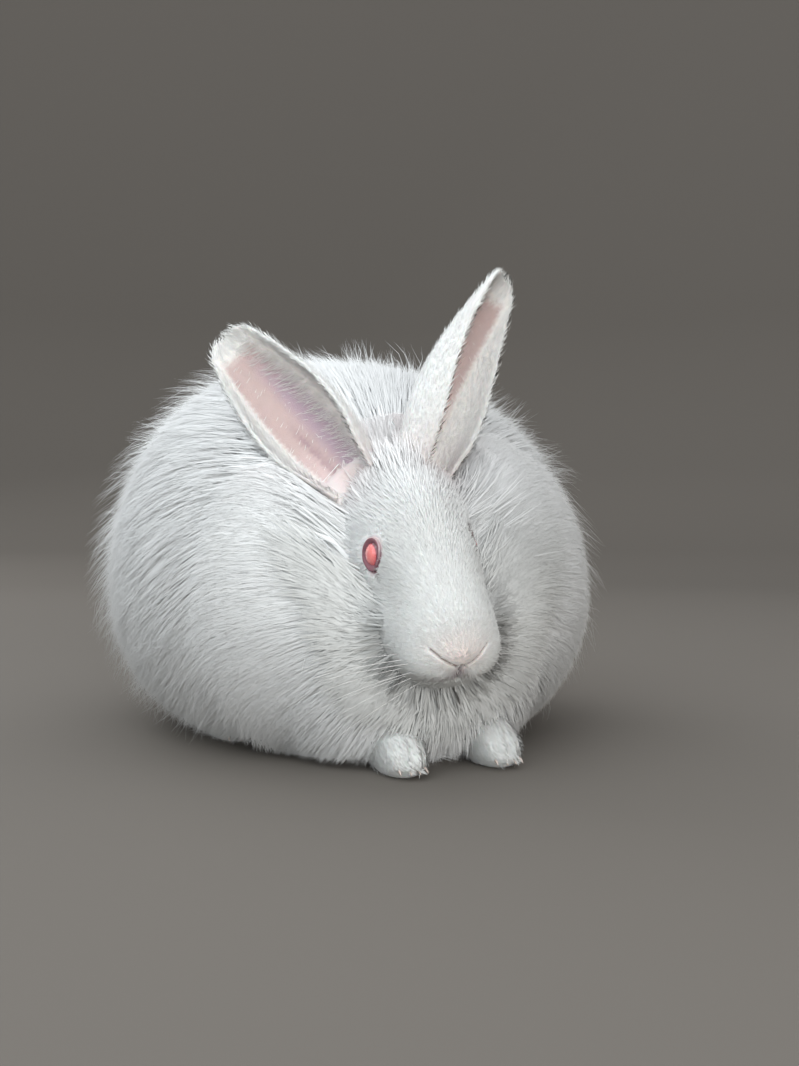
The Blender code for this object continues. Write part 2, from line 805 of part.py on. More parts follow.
def limb(name, low, high, low_radius, high_radius, collection, grow=0.0):
    """A tapered limb between two joints, rounded at both ends."""
    axis = high - low
    turn = axis.to_track_quat("Z", "Y").to_matrix()

    def shape(way):
        share = (way.z + 1) / 2
        radius = low_radius + (high_radius - low_radius) * share + grow
        along = axis.length * share + way.z * radius * 0.6
        ring = math.sqrt(max(0.0, 1 - way.z**2)) ** 0.6
        flat = Vector((way.x, way.y, 0.0))
        flat = flat.normalized() * ring if flat.length > 1e-6 else flat
        return low + turn @ Vector((flat.x * radius, flat.y * radius, along))

    return moved_sphere(name, shape, 12, 8, "face_fur", collection)


def foreleg_pieces(side, collection, grow=0.0):
    foot = make_foot(
        "foot", side, FORE_TOE_PLACE, FORE_FOOT_LENGTH, FORE_FOOT_WIDTH, FORE_FOOT_HEIGHT, collection, grow
    )
    wrist = Vector((side * FORE_TOE_PLACE.x, FORE_TOE_PLACE.y + FORE_FOOT_LENGTH * 0.72, WRIST_HEIGHT))
    elbow = Vector((side * ELBOW.x, *ELBOW.yz))
    return foot, [limb("forearm", wrist, elbow, *FOREARM_RADII, collection, grow)]


def hindleg_pieces(side, collection, grow=0.0):
    foot = make_foot(
        "foot", side, HIND_TOE_PLACE, HIND_FOOT_LENGTH, HIND_FOOT_WIDTH, HIND_FOOT_HEIGHT, collection, grow
    )
    heel = Vector((side * HIND_TOE_PLACE.x, HIND_TOE_PLACE.y + HIND_FOOT_LENGTH * 0.84, HEEL_HEIGHT))
    knee = Vector((side * KNEE.x, *KNEE.yz))
    return foot, [limb("shank", heel, knee, *SHANK_RADII, collection, grow)]


def make_leg(name, side, pieces, collection):
    foot, others = pieces(side, collection)
    take_boolean(foot, "UNION", others)
    foot.name = name
    return foot


def stand_on_origin(collection):
    """Moves the rabbit so that the middle of its box is over the origin and its soles are at z = 0."""
    points = np.array([vert.co for thing in collection.objects for vert in thing.data.vertices])
    low, high = points.min(axis=0), points.max(axis=0)
    shift = Vector((-(low[0] + high[0]) / 2, -(low[1] + high[1]) / 2, -low[2]))
    for thing in collection.objects:
        thing.data.transform(Matrix.Translation(shift))


def grown(names, collection):
    """The shapes of some nodes, GAP larger all round, for cutting their neighbours clear of them."""
    shapes = []
    for side, side_name in ((1, "left"), (-1, "right")):
        if "ear" in names:
            shapes.append(ear_shell(side_name, collection, grow=GAP))
        for leg, pieces in (("foreleg", foreleg_pieces), ("hindleg", hindleg_pieces)):
            if leg in names:
                foot, others = pieces(side, collection, grow=2 * GAP)
                shapes += [foot, *others]
    if "head" in names:
        shapes.append(make_head(collection, grow=GAP))
    for name in ("neck", "tail"):
        if name in names:
            core, locks = coat_pieces(name, collection, grow=GAP)
            shapes += [core, *locks]
    return shapes


def main():
    clear_scene()
    rabbit = bpy.data.collections.new("angora_rabbit")
    bpy.context.scene.collection.children.link(rabbit)
    head = make_head(rabbit)
    carve_face(head, rabbit)
    for side, side_name in ((1, "left"), (-1, "right")):
        make_eye(side, rabbit)
        make_ear(side_name, rabbit)
        make_leg(f"foreleg_{side_name}", side, foreleg_pieces, rabbit)
        make_leg(f"hindleg_{side_name}", side, hindleg_pieces, rabbit)
    make_coat("tail", rabbit)
    neck = make_coat("neck", rabbit)
    take_boolean(neck, "DIFFERENCE", grown(("head", "ear", "foreleg"), rabbit))
    torso = make_coat("torso", rabbit)
    take_boolean(torso, "DIFFERENCE", grown(("head", "ear", "neck", "tail", "foreleg", "hindleg"), rabbit))
    stand_on_origin(rabbit)


main()
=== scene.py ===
"""The looks of a white angora rabbit at rest, life size.

Metres, +Z up. The rabbit faces -Y and its left side is +X. Shapes are worked out in the body's own
frame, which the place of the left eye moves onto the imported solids. One skin covers head, ears, neck,
torso, tail and legs. Its wool and fur are closed, tapered strands of mesh.
"""

import math

import bmesh
import bpy
import numpy as np
from mathutils import Matrix, Vector
from mathutils.kdtree import KDTree


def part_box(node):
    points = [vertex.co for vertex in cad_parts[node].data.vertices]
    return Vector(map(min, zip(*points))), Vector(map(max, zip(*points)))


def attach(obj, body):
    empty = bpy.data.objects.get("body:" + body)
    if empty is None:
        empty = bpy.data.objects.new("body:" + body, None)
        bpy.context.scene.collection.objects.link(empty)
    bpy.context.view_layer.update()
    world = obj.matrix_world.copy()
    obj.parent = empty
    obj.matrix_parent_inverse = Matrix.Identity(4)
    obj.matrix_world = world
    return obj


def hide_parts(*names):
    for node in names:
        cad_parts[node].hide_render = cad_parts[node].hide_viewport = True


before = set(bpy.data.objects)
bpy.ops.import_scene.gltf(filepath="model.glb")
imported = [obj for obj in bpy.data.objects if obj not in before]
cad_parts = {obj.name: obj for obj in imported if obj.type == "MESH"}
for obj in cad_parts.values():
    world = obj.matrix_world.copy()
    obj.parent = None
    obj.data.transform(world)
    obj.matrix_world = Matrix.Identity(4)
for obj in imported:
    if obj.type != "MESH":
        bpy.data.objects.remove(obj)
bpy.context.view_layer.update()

# Coat outline of the body, measured from BODY_CENTRE to the tips of the wool
BODY_CENTRE = np.array([0.0, 0.006, 0.088])
BODY_HALF_WIDTH = 0.133
BODY_FRONT_REACH = 0.142
BODY_BACK_REACH = 0.158
BODY_RISE = 0.132
BODY_DROP = 0.112
BODY_SQUARENESS = 2.25
COAT_DEPTH = 0.062
# How deep the flesh lies under a coat, as a share of its depth, and its least radius and height
CORE_SHARE = 0.5
LEAST_FLESH = 0.012
FLESH_ABOVE_FLOOR = 0.004
HEAD_HOLLOW_TOWARDS = np.array([-0.006, -0.110, 0.072])
HEAD_HOLLOW_DEPTH = 0.40
HEAD_HOLLOW_SPREAD = math.radians(40)
HAUNCH_TOWARDS = np.array([0.105, 0.055, -0.035])
HAUNCH_SWELL = 0.05
HAUNCH_SPREAD = math.radians(36)
NECK_CENTRE = np.array([-0.003, -0.072, 0.070])
NECK_REACH = np.array([0.084, 0.062, 0.100])
RUFF_LEAN = 0.75
RUFF_DEPTH = 0.040
TAIL_CENTRE = np.array([0.0, 0.150, 0.062])
TAIL_REACH = np.array([0.036, 0.030, 0.042])
TAIL_DEPTH = 0.026

# Head, along its own axis from the nose tip back to the nape
HEAD_LENGTH = 0.125
# distance behind the nose, top, bottom, half width, how much wider the lower half is
HEAD_STATIONS = (
    (0.000, 0.009, -0.016, 0.0150, 0.02),
    (0.008, 0.014, -0.025, 0.0200, 0.06),
    (0.018, 0.019, -0.031, 0.0235, 0.10),
    (0.032, 0.026, -0.034, 0.0265, 0.14),
    (0.048, 0.033, -0.037, 0.0278, 0.16),
    (0.062, 0.037, -0.040, 0.0288, 0.18),
    (0.080, 0.041, -0.042, 0.0325, 0.18),
    (0.100, 0.040, -0.040, 0.0335, 0.12),
    (0.125, 0.030, -0.030, 0.0265, 0.05),
)
NOSE_ROUNDING = 0.014
NAPE_ROUNDING = 0.036
# Swells and hollows on both sides of the head: height, middle on the left side, spread
HEAD_SWELLS = (
    (0.0030, (0.013, 0.006, -0.010), (0.010, 0.012, 0.008)),
    (0.0026, (0.028, 0.060, 0.022), (0.012, 0.016, 0.008)),
    (0.0030, (0.031, 0.076, -0.018), (0.014, 0.024, 0.016)),
    (-0.0022, (0.024, 0.036, 0.006), (0.010, 0.014, 0.012)),
    (-0.0016, (0.000, 0.044, 0.030), (0.010, 0.020, 0.010)),
)
NOSTRIL_GROOVE = ((0.0010, -0.0065), (0.0124, 0.0002), 1.15)
MOUTH_GROOVE = ((0.0004, -0.0145), (0.0149, -0.0210), 1.6)
CLEFT_GROOVE = ((0.0000, -0.0060), (0.0000, -0.0150), 1.0)
NOSE_MIDDLE = np.array([0.0, 0.004, -0.008])
EYE_MIDDLE = np.array([0.0, 0.062, 0.012])
HEAD_PLACE = np.array([-0.0108, -0.1092, 0.0999])
HEAD_YAW = math.radians(-5.2)
HEAD_PITCH = math.radians(31.6)
HEAD_ROLL = math.radians(-5)
EYE_RADIUS = 0.0088
EYE_HALF_SPACING = 0.0178
LID_LENGTH = 0.0102
LID_HEIGHT = 0.0100
EYE_FACING = np.array([0.93, -0.24, 0.28])
EYE_LINE = np.array([0.0, 1.0, 0.12])

EAR_BASES = {"left": np.array([0.0125, 0.096, 0.030]), "right": np.array([-0.0240, 0.096, 0.030])}
EAR_TIPS = {"left": np.array([0.043, -0.0895, 0.236]), "right": np.array([-0.0855, -0.0413, 0.204])}
EAR_OPENING_YAW = {"left": math.radians(38), "right": math.radians(-34)}
EAR_THICKNESS = 0.0024
# share of the length, half width, half angle of the curl in degrees
EAR_STATIONS = (
    (0.00, 0.0135, 132.0),
    (0.12, 0.0165, 124.0),
    (0.28, 0.0200, 112.0),
    (0.48, 0.0208, 98.0),
    (0.68, 0.0186, 84.0),
    (0.86, 0.0148, 66.0),
    (0.96, 0.0110, 50.0),
    (1.00, 0.0068, 40.0),
)
EAR_BACKSET = 0.0180
EAR_BOW = 0.007
EAR_DEEPER = {"left": 0.0030, "right": 0.0}

FORE_FOOT = (0.046, 0.023, 0.021)
FORE_TOE_PLACE = np.array([0.024, -0.132, 0.0])
WRIST = np.array([0.024, -0.0989, 0.0115])
ELBOW = np.array([0.038, -0.050, 0.056])
FOREARM_RADII = (0.0105, 0.0150)
HIND_FOOT = (0.098, 0.030, 0.024)
HIND_TOE_PLACE = np.array([0.072, -0.034, 0.0])
HEEL = np.array([0.072, 0.0483, 0.0140])
KNEE = np.array([0.080, -0.012, 0.062])
SHANK_RADII = (0.0130, 0.0220)
SOLE_SINK = 0.003
TOE_COUNT = 4
TOE_GROOVE = 0.004
FEET = {"foreleg": (FORE_TOE_PLACE, FORE_FOOT), "hindleg": (HIND_TOE_PLACE, HIND_FOOT)}
LIMBS = {"foreleg": (WRIST, ELBOW, FOREARM_RADII), "hindleg": (HEEL, KNEE, SHANK_RADII)}

# How far the skin lies inside the solids on the short-furred parts, and the size of its voxels
FUR_DEPTH = 0.0008
SKIN_VOXEL = 0.0015

SIDES = ((1, "left"), (-1, "right"))
FEW = 1.0


# Small helpers


def unit(vectors):
    return vectors / np.maximum(np.linalg.norm(vectors, axis=-1, keepdims=True), 1e-12)


def dot(a, b):
    return (a * b).sum(axis=-1)


def smooth_table(rows, column, place):
    """A smooth curve through one column of a table of stations, read at each value of place."""
    table = np.array(rows, float)
    knots, values = table[:, 0], table[:, column]
    slopes = np.gradient(values, knots)
    place = np.clip(place, knots[0], knots[-1])
    i = np.clip(np.searchsorted(knots, place, side="right") - 1, 0, len(knots) - 2)
    step = knots[i + 1] - knots[i]
    t = (place - knots[i]) / step
    return (
        values[i] * (2 * t**3 - 3 * t**2 + 1)
        + slopes[i] * step * (t**3 - 2 * t**2 + t)
        + values[i + 1] * (3 * t**2 - 2 * t**3)
        + slopes[i + 1] * step * (t**3 - t**2)
    )


def fade(x, low, high):
    """0 below low, 1 above high, smooth between. With low above high it falls instead."""
    t = np.clip((x - low) / (high - low), 0, 1)
    return t * t * (3 - 2 * t)


def bell(offset, spread):
    """1 in the middle, falling smoothly to 0 all round. An offset is a length or a row of three."""
    square = (offset / spread) ** 2
    return np.exp(-(square.sum(axis=1) if square.ndim > 1 else square))


def linked(name, data):
    made = bpy.data.objects.new(name, data)
    bpy.context.scene.collection.objects.link(made)
    return made


def tree_of(places):
    tree = KDTree(len(places))
    for k, place in enumerate(places.tolist()):
        tree.insert(place, k)
    tree.balance()
    return tree


def nearest(tree, points):
    return np.array([tree.find(place)[1] for place in points.tolist()])


def head_matrix():
    turn = (
        Matrix.Rotation(HEAD_YAW, 4, "Z")
        @ Matrix.Rotation(HEAD_PITCH, 4, "X")
        @ Matrix.Rotation(HEAD_ROLL, 4, "Y")
    )
    return Matrix.Translation(Vector(HEAD_PLACE)) @ turn @ Matrix.Translation(Vector(-EYE_MIDDLE))


HEAD = np.array(head_matrix())


def from_head(places):
    return places @ HEAD[:3, :3].T + HEAD[:3, 3]


def to_head(places):
    return (places - HEAD[:3, 3]) @ HEAD[:3, :3]


def head_way(vectors):
    """A direction of the head's frame, in the body's."""
    return vectors @ HEAD[:3, :3].T


def eye_centre(side):
    return from_head(np.array([side * EYE_HALF_SPACING, EYE_MIDDLE[1], EYE_MIDDLE[2]]))


low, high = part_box("eye_left")
SHIFT = (np.array(low) + np.array(high)) / 2 - eye_centre(1)


# Shapes, each a function from unit directions to points


def head_sections(behind):
    """Top, bottom, half width and how much wider the lower half is, at distances behind the nose."""
    return [smooth_table(HEAD_STATIONS, column, behind) for column in (1, 2, 3, 4)]


def head_surface(ways, sink=0.0):
    behind = HEAD_LENGTH * (1 + ways[:, 1]) / 2
    top, bottom, half_width, low_heavy = head_sections(behind)
    front = np.minimum(behind / NOSE_ROUNDING, 1.0)
    back = np.minimum((HEAD_LENGTH - behind) / NAPE_ROUNDING, 1.0)
    close = np.sqrt(np.clip(front * (2 - front), 0, 1)) * np.sqrt(np.clip(back * (2 - back), 0, 1))
    ring = np.maximum(np.hypot(ways[:, 0], ways[:, 2]), 1e-9)
    across, upward = ways[:, 0] / ring, ways[:, 2] / ring
    place = np.stack(
        [
            half_width * close * across * (1 - low_heavy * upward),
            behind,
            (top + bottom) / 2 + (top - bottom) / 2 * close * upward,
        ],
        axis=1,
    )
    outward = unit(np.stack([across, ways[:, 1] * 0.8, upward], axis=1))
    mirrored = np.stack([np.abs(place[:, 0]), place[:, 1], place[:, 2]], axis=1)
    swell = -sink * np.ones(len(place))
    for height, middle, spread in HEAD_SWELLS:
        swell += height * bell(mirrored - middle, spread)
    return from_head(place + outward * swell[:, None])


def within_head(places, grow=0.0):
    """Whether points lie inside the head's lofted sections, grown by some metres."""
    p = to_head(places)
    behind = np.clip(p[:, 1], 0.0, HEAD_LENGTH)
    top, bottom, half_width, low_heavy = head_sections(behind)
    front = np.minimum((behind + grow) / NOSE_ROUNDING, 1.0)
    close = np.sqrt(np.clip(front * (2 - front), 1e-6, 1))
    upward = (p[:, 2] - (top + bottom) / 2) / ((top - bottom) / 2 * close + grow)
    across = p[:, 0] / (half_width * close * (1 - low_heavy * np.clip(upward, -1, 1)) + grow)
    return (across**2 + upward**2 < 1) & (p[:, 1] > -grow) & (p[:, 1] < HEAD_LENGTH)


def angle_fade(ways, towards, spread):
    angle = np.arccos(np.clip(ways @ (towards / np.linalg.norm(towards)), -1, 1))
    return bell(angle, spread)


def body_sizes(ways):
    """The body's half width and its reach to front or back and up or down, as each way points."""
    front_back = np.where(ways[:, 1] < 0, BODY_FRONT_REACH, BODY_BACK_REACH)
    up_down = np.where(ways[:, 2] > 0, BODY_RISE, BODY_DROP)
    return np.stack([np.full(len(ways), BODY_HALF_WIDTH), front_back, up_down], axis=1)


def coat_reach(ways):
    """How far the wool's outline is from BODY_CENTRE in some directions."""
    reach = (np.abs(ways / body_sizes(ways)) ** BODY_SQUARENESS).sum(axis=1) ** (-1 / BODY_SQUARENESS)
    reach *= 1 - HEAD_HOLLOW_DEPTH * angle_fade(ways, HEAD_HOLLOW_TOWARDS, HEAD_HOLLOW_SPREAD)
    for side, _ in SIDES:
        reach *= 1 + HAUNCH_SWELL * angle_fade(ways, HAUNCH_TOWARDS * [side, 1, 1], HAUNCH_SPREAD)
    return reach


def ball_reach(sizes):
    return lambda ways: 1 / np.linalg.norm(ways / sizes, axis=1)


def ruff_reach(ways):
    """The ruff's outline: round behind and below, and leaning back from the face above."""
    lean = np.where(ways[:, 1] < 0, 1 - RUFF_LEAN * np.clip(ways[:, 2], 0, None), 1.0)
    sizes = NECK_REACH * np.stack([np.ones(len(ways)), lean, np.ones(len(ways))], axis=1)
    return 1 / np.linalg.norm(ways / sizes, axis=1)


def back_and_down(places):
    """The body's wool leans back towards the tail, out to the sides and down them."""
    side = places[:, 0] / BODY_HALF_WIDTH
    return np.stack([0.30 * side, np.full(len(side), 0.75), -0.30 - 0.55 * np.abs(side)], axis=1)


def away_from_face(places):
    """The ruff leans out and back from the face, and the bib under it hangs down."""
    below = np.clip(-places[:, 2] / NECK_REACH[2], 0, None)
    above = np.clip(places[:, 2] / NECK_REACH[2], 0, None)
    return np.stack([7.0 * places[:, 0], 0.55 - 0.75 * below, 0.5 * above - 0.9 * below - 0.15], axis=1)


def out_from_rump(places):
    """The tail's wool sweeps up from its root and round its sides."""
    return np.stack([6.0 * places[:, 0], np.full(len(places), 0.35), np.full(len(places), 0.9)], axis=1)


# centre, reach, depth of the whole coat, lie, how far a strand leans along the lie
COATS = {
    "torso": (BODY_CENTRE, coat_reach, COAT_DEPTH, back_and_down, 0.055),
    "neck": (NECK_CENTRE, ruff_reach, RUFF_DEPTH, away_from_face, 0.044),
    "tail": (TAIL_CENTRE, ball_reach(TAIL_REACH), TAIL_DEPTH, out_from_rump, 0.018),
}


def coat_skin(name):
    """The flesh under a coat: as deep inside its outline as the solids' core, and less at the floor."""
    centre, reach, depth, _, _ = COATS[name]

    def shape(ways):
        below = np.clip(-ways[:, 2], 0, None)
        far = np.maximum(reach(ways) - depth * CORE_SHARE * (1 - 0.3 * below), LEAST_FLESH)
        places = centre + ways * far[:, None]
        places[:, 2] = np.maximum(places[:, 2], FLESH_ABOVE_FLOOR)
        return places

    return shape


def foot_shape(side, toe, sizes):
    length, width, height = sizes

    def shape(ways):
        across = np.sign(ways[:, 0]) * np.abs(ways[:, 0]) ** 0.75
        forward = np.clip(-ways[:, 1], 0, None)
        lane = (across + 1) / 2 * TOE_COUNT
        groove = (0.5 + 0.5 * np.cos(2 * math.pi * lane)) * forward**2
        x = side * toe[0] + across * (width / 2 - FUR_DEPTH) * (1 - 0.10 * np.clip(ways[:, 1], 0, None))
        y = toe[1] + length / 2 + ways[:, 1] * (length / 2 - FUR_DEPTH) + groove * TOE_GROOVE
        z = (ways[:, 2] + 1) / 2 * (height + 2 * SOLE_SINK) * (1 - 0.25 * forward) * (1 - 0.10 * groove)
        return np.stack([x, y, np.maximum(z - SOLE_SINK, 0.0)], axis=1)

    return shape


def limb_shape(side, low_end, high_end, radii):
    low_end, high_end = low_end * [side, 1, 1], high_end * [side, 1, 1]
    axis = Vector(high_end - low_end)
    turn = np.array(axis.to_track_quat("Z", "Y").to_matrix())

    def shape(ways):
        share = (ways[:, 2] + 1) / 2
        radius = radii[0] + (radii[1] - radii[0]) * share - FUR_DEPTH
        along = axis.length * share + ways[:, 2] * radius * 0.6
        ring = np.sqrt(np.clip(1 - ways[:, 2] ** 2, 0, 1)) ** 0.6
        flat = unit(ways * [1, 1, 0]) * (ring * radius)[:, None]
        return low_end + np.stack([flat[:, 0], flat[:, 1], along], axis=1) @ turn.T

    return shape


def ear_frame(side_name):
    base = from_head(EAR_BASES[side_name])
    tip = EAR_TIPS[side_name]
    axis = unit(tip - base)
    yaw = EAR_OPENING_YAW[side_name]
    facing = np.array([math.sin(yaw), -math.cos(yaw), 0.0])
    facing = unit(facing - axis * dot(facing, axis))
    return base, tip, axis, facing, unit(np.cross(axis, facing))


def ear_point(side_name, share, across):
    """Points of the ear's middle sheet, with share from base to tip and across from -1 to 1."""
    base, tip, _, facing, sideways = ear_frame(side_name)
    half_width = smooth_table(EAR_STATIONS, 1, share)
    curl = np.radians(smooth_table(EAR_STATIONS, 2, share))
    radius = half_width / np.sin(np.minimum(curl, math.pi / 2))
    arch = np.sin(math.pi * share)
    bow = EAR_BOW * arch + EAR_BACKSET * (1 - share) + EAR_DEEPER[side_name] * arch * (1 - across**2)
    angle = across * curl
    middle = base + share[:, None] * (tip - base) - facing * bow[:, None]
    return (
        middle
        + sideways * (radius * np.sin(angle))[:, None]
        + facing * (radius * (1 - np.cos(angle)) * 0.9)[:, None]
    )


# Meshes


def object_from(name, points, faces):
    mesh = bpy.data.meshes.new(name)
    mesh.from_pydata(points.tolist(), [], faces)
    mesh.update()
    return linked(name, mesh)


def unit_sphere(segments, rings):
    """A sphere as a bmesh, and the direction of each of its points."""
    bm = bmesh.new()
    bmesh.ops.create_uvsphere(bm, u_segments=segments, v_segments=rings, radius=1.0)
    return bm, unit(np.array([vert.co for vert in bm.verts]))


def mesh_from(bm, name, places):
    """Moves a bmesh's points to some places and makes it a mesh."""
    for vert, place in zip(bm.verts, places):
        vert.co = place
    bmesh.ops.recalc_face_normals(bm, faces=bm.faces)
    mesh = bpy.data.meshes.new(name)
    bm.to_mesh(mesh)
    bm.free()
    return mesh


def ball(name, shape, segments, rings, axis="Z"):
    """A sphere primitive whose every point is carried to shape(unit directions)."""
    bm, ways = unit_sphere(segments, rings)
    if axis == "Y":
        bmesh.ops.rotate(bm, verts=bm.verts, matrix=Matrix.Rotation(math.pi / 2, 3, "X"))
        ways = unit(np.array([vert.co for vert in bm.verts]))
    return linked(name, mesh_from(bm, name, shape(ways)))


def ear_shell(side_name):
    along, wide = 64, 41
    share, across = np.meshgrid(np.linspace(0, 1, along) ** 0.92, np.linspace(-1, 1, wide), indexing="ij")
    points = ear_point(side_name, share.ravel(), across.ravel())
    faces = [
        (i * wide + k, i * wide + k + 1, (i + 1) * wide + k + 1, (i + 1) * wide + k)
        for i in range(along - 1)
        for k in range(wide - 1)
    ]
    ear = object_from(f"ear_{side_name}_skin", points, faces)
    shell = ear.modifiers.new("thickness", "SOLIDIFY")
    shell.thickness = EAR_THICKNESS
    shell.offset = 0.0
    return ear


def evaluated_mesh(thing):
    bpy.context.view_layer.update()
    graph = bpy.context.evaluated_depsgraph_get()
    return bpy.data.meshes.new_from_object(thing.evaluated_get(graph))


def points_of(mesh, what="co"):
    found = np.empty(len(mesh.vertices) * 3, np.float32)
    mesh.vertices.foreach_get(what, found)
    return found.reshape(-1, 3).astype(float)


def flesh_pieces():
    """The closed pieces that the skin is made of, with the name of the region each one gives."""
    pieces = [("head", ball("head_skin", lambda ways: head_surface(ways, FUR_DEPTH), 96, 72, "Y"))]
    for name in COATS:
        pieces.append((name, ball(f"{name}_skin", coat_skin(name), 72, 48)))
    for side, side_name in SIDES:
        pieces.append((f"ear_{side_name}", ear_shell(side_name)))
        for leg in FEET:
            pieces.append((f"{leg}_{side_name}", ball("foot", foot_shape(side, *FEET[leg]), 56, 36, "Y")))
            pieces.append((f"{leg}_{side_name}", ball("limb", limb_shape(side, *LIMBS[leg]), 32, 24)))
    return pieces


def eye_frame(side):
    """The way an eye faces, the way its opening runs and the way up across it, in the body's frame."""
    outward = unit(EYE_FACING * [side, 1, 1])
    along = unit(EYE_LINE - outward * dot(EYE_LINE, outward))
    upward = np.cross(outward, along)
    upward = upward if upward[2] > 0 else -upward
    return head_way(outward), head_way(along), head_way(upward)


LID_ROLL = 0.0016
LID_FOLD = 0.0036


def beyond_lids(a, b):
    """How far a place beside an eye lies outside the opening, flat below and pointed in front."""
    low = fade(b, 0.0, -0.6 * LID_HEIGHT / 2)
    half_length = LID_LENGTH / 2 * np.where(a < 0, 1.06 + 0.22 * low, 1.0)
    power = 2.0 + 1.3 * low
    metric = ((np.abs(a) / half_length) ** power + (np.abs(b) / (LID_HEIGHT / 2)) ** power) ** (1 / power)
    return (metric - 1) * LID_HEIGHT / 2


def shape_lids(points):
    """Opens an almond in the skin over each eye, with a rolled lid round it."""
    opening = np.zeros(len(points))
    for side, _ in SIDES:
        centre = eye_centre(side)
        outward, along, upward = eye_frame(side)
        offset = points - centre
        a, b, c = offset @ along, offset @ upward, offset @ outward
        near = (c > 0) & (np.hypot(a, b) < 0.016)
        beyond = beyond_lids(a, b)
        inside = EYE_RADIUS - 0.0012
        roll = LID_ROLL * (1 + 0.5 * fade(a, 0.0, -LID_LENGTH / 2))
        rim = EYE_RADIUS + roll * bell(beyond - 0.0010, 0.0012)
        reach = np.linalg.norm(offset, axis=1)
        wanted = np.where(beyond < 0, inside + (rim - inside) * fade(beyond, -0.0007, 0.0), rim)
        keep = fade(beyond, 0.0012, LID_FOLD)
        blended = wanted * (1 - keep) + np.maximum(reach, 1e-6) * keep
        moved = centre + offset * (blended / np.maximum(reach, 1e-6))[:, None]
        points = np.where(near[:, None], moved, points)
        opening = np.where(near, np.maximum(opening, 1 - fade(beyond, 0.0006, 0.0034)), opening)
    return points, opening


def groove_distance(points, groove):
    """How far points of the head's frame are, seen from in front, from a groove on each side."""
    start, end, bend = groove
    t = np.linspace(0, 1, 14)
    x = start[0] + (end[0] - start[0]) * t
    z = start[1] + (end[1] - start[1]) * t**bend
    best = np.full(len(points), 1.0)
    px, pz = np.abs(points[:, 0]), points[:, 2]
    for k in range(len(t) - 1):
        dx, dz = x[k + 1] - x[k], z[k + 1] - z[k]
        share = np.clip(((px - x[k]) * dx + (pz - z[k]) * dz) / (dx * dx + dz * dz), 0, 1)
        best = np.minimum(best, np.hypot(px - x[k] - share * dx, pz - z[k] - share * dz))
    return best


def shape_muzzle(points, normals):
    """Carves nostrils, cleft and mouth, and rounds the lips and the nose pad between them."""
    p = to_head(points)
    front = fade(p[:, 1], 0.024, 0.014)
    nostril = groove_distance(p, NOSTRIL_GROOVE)
    mouth = groove_distance(p, MOUTH_GROOVE)
    cleft = groove_distance(p, CLEFT_GROOVE)
    depth = 0.0010 * bell(nostril, 0.0006)
    depth += 0.0009 * bell(mouth, 0.0008) + 0.0012 * bell(cleft, 0.0008)
    for x in (-1, 1):
        depth -= 0.0011 * bell(p - [x * 0.0068, 0.003, -0.0115], [0.0050, 0.012, 0.0036])
    depth -= 0.0010 * bell(p - [0.0, 0.0, -0.0010], [0.0075, 0.010, 0.0040])
    return points - normals * (depth * front)[:, None]


def split_near(mesh, places, radius):
    """Splits the faces near some places into four."""
    bm = bmesh.new()
    bm.from_mesh(mesh)
    centres = np.array([face.calc_center_median() for face in bm.faces])
    near = np.zeros(len(centres), bool)
    for place in places:
        near |= np.linalg.norm(centres - place, axis=1) < radius
    edges = {edge for face, close in zip(bm.faces, near) if close for edge in face.edges}
    bmesh.ops.subdivide_edges(bm, edges=list(edges), cuts=1, use_grid_fill=True, smooth=0.0)
    bmesh.ops.triangulate(bm, faces=[face for face in bm.faces if len(face.verts) > 4])
    bm.to_mesh(mesh)
    bm.free()


def label_tree(pieces):
    """The region of each point of the pieces that the skin is made of, and a search tree of the points."""
    places, regions = [], []
    for name, piece in pieces:
        found = points_of(evaluated_mesh(piece))
        places.append(found)
        regions += [name] * len(found)
    return np.array(regions), tree_of(np.concatenate(places))


def make_skin():
    """One closed skin over all the flesh, with each vertex's region and its share in an eye's lids."""
    pieces = flesh_pieces()
    regions, tree = label_tree(pieces)
    bm = bmesh.new()
    for _, piece in pieces:
        bm.from_mesh(evaluated_mesh(piece))
        bpy.data.objects.remove(piece)
    mesh = bpy.data.meshes.new("skin")
    bm.to_mesh(mesh)
    bm.free()
    skin = linked("skin", mesh)
    remesh = skin.modifiers.new("one", "REMESH")
    remesh.mode = "VOXEL"
    remesh.voxel_size = SKIN_VOXEL
    rounding = skin.modifiers.new("rounding", "SMOOTH")
    rounding.factor = 0.5
    rounding.iterations = 3
    mesh = evaluated_mesh(skin)
    skin.modifiers.clear()
    skin.data = mesh
    nose = from_head(NOSE_MIDDLE)
    eyes = [eye_centre(side) + eye_frame(side)[0] * EYE_RADIUS for side, _ in SIDES]
    for places, radius in (([nose], 0.024), ([nose], 0.021), (eyes, 0.0145), (eyes, 0.0120)):
        split_near(mesh, places, radius)
    mesh.update()
    points = shape_muzzle(points_of(mesh), points_of(mesh, what="normal"))
    points, lids = shape_lids(points)
    mesh.vertices.foreach_set("co", points.astype(np.float32).ravel())
    mesh.update()
    mesh.shade_smooth()
    return skin, regions[nearest(tree, points)], lids


# Where a point lies on an ear


EAR_GRID = (60, 41)
# How far inside an ear's middle sheet its inner face begins
CUP_DEPTH = 0.0003
# 1 where the place across an ear grows towards the middle of the head, else -1
EAR_MEDIAL_WAY = {
    side_name: float(np.sign(dot(ear_frame(side_name)[4], head_way(np.array([-side, 0.0, 0.0])))))
    for side, side_name in SIDES
}


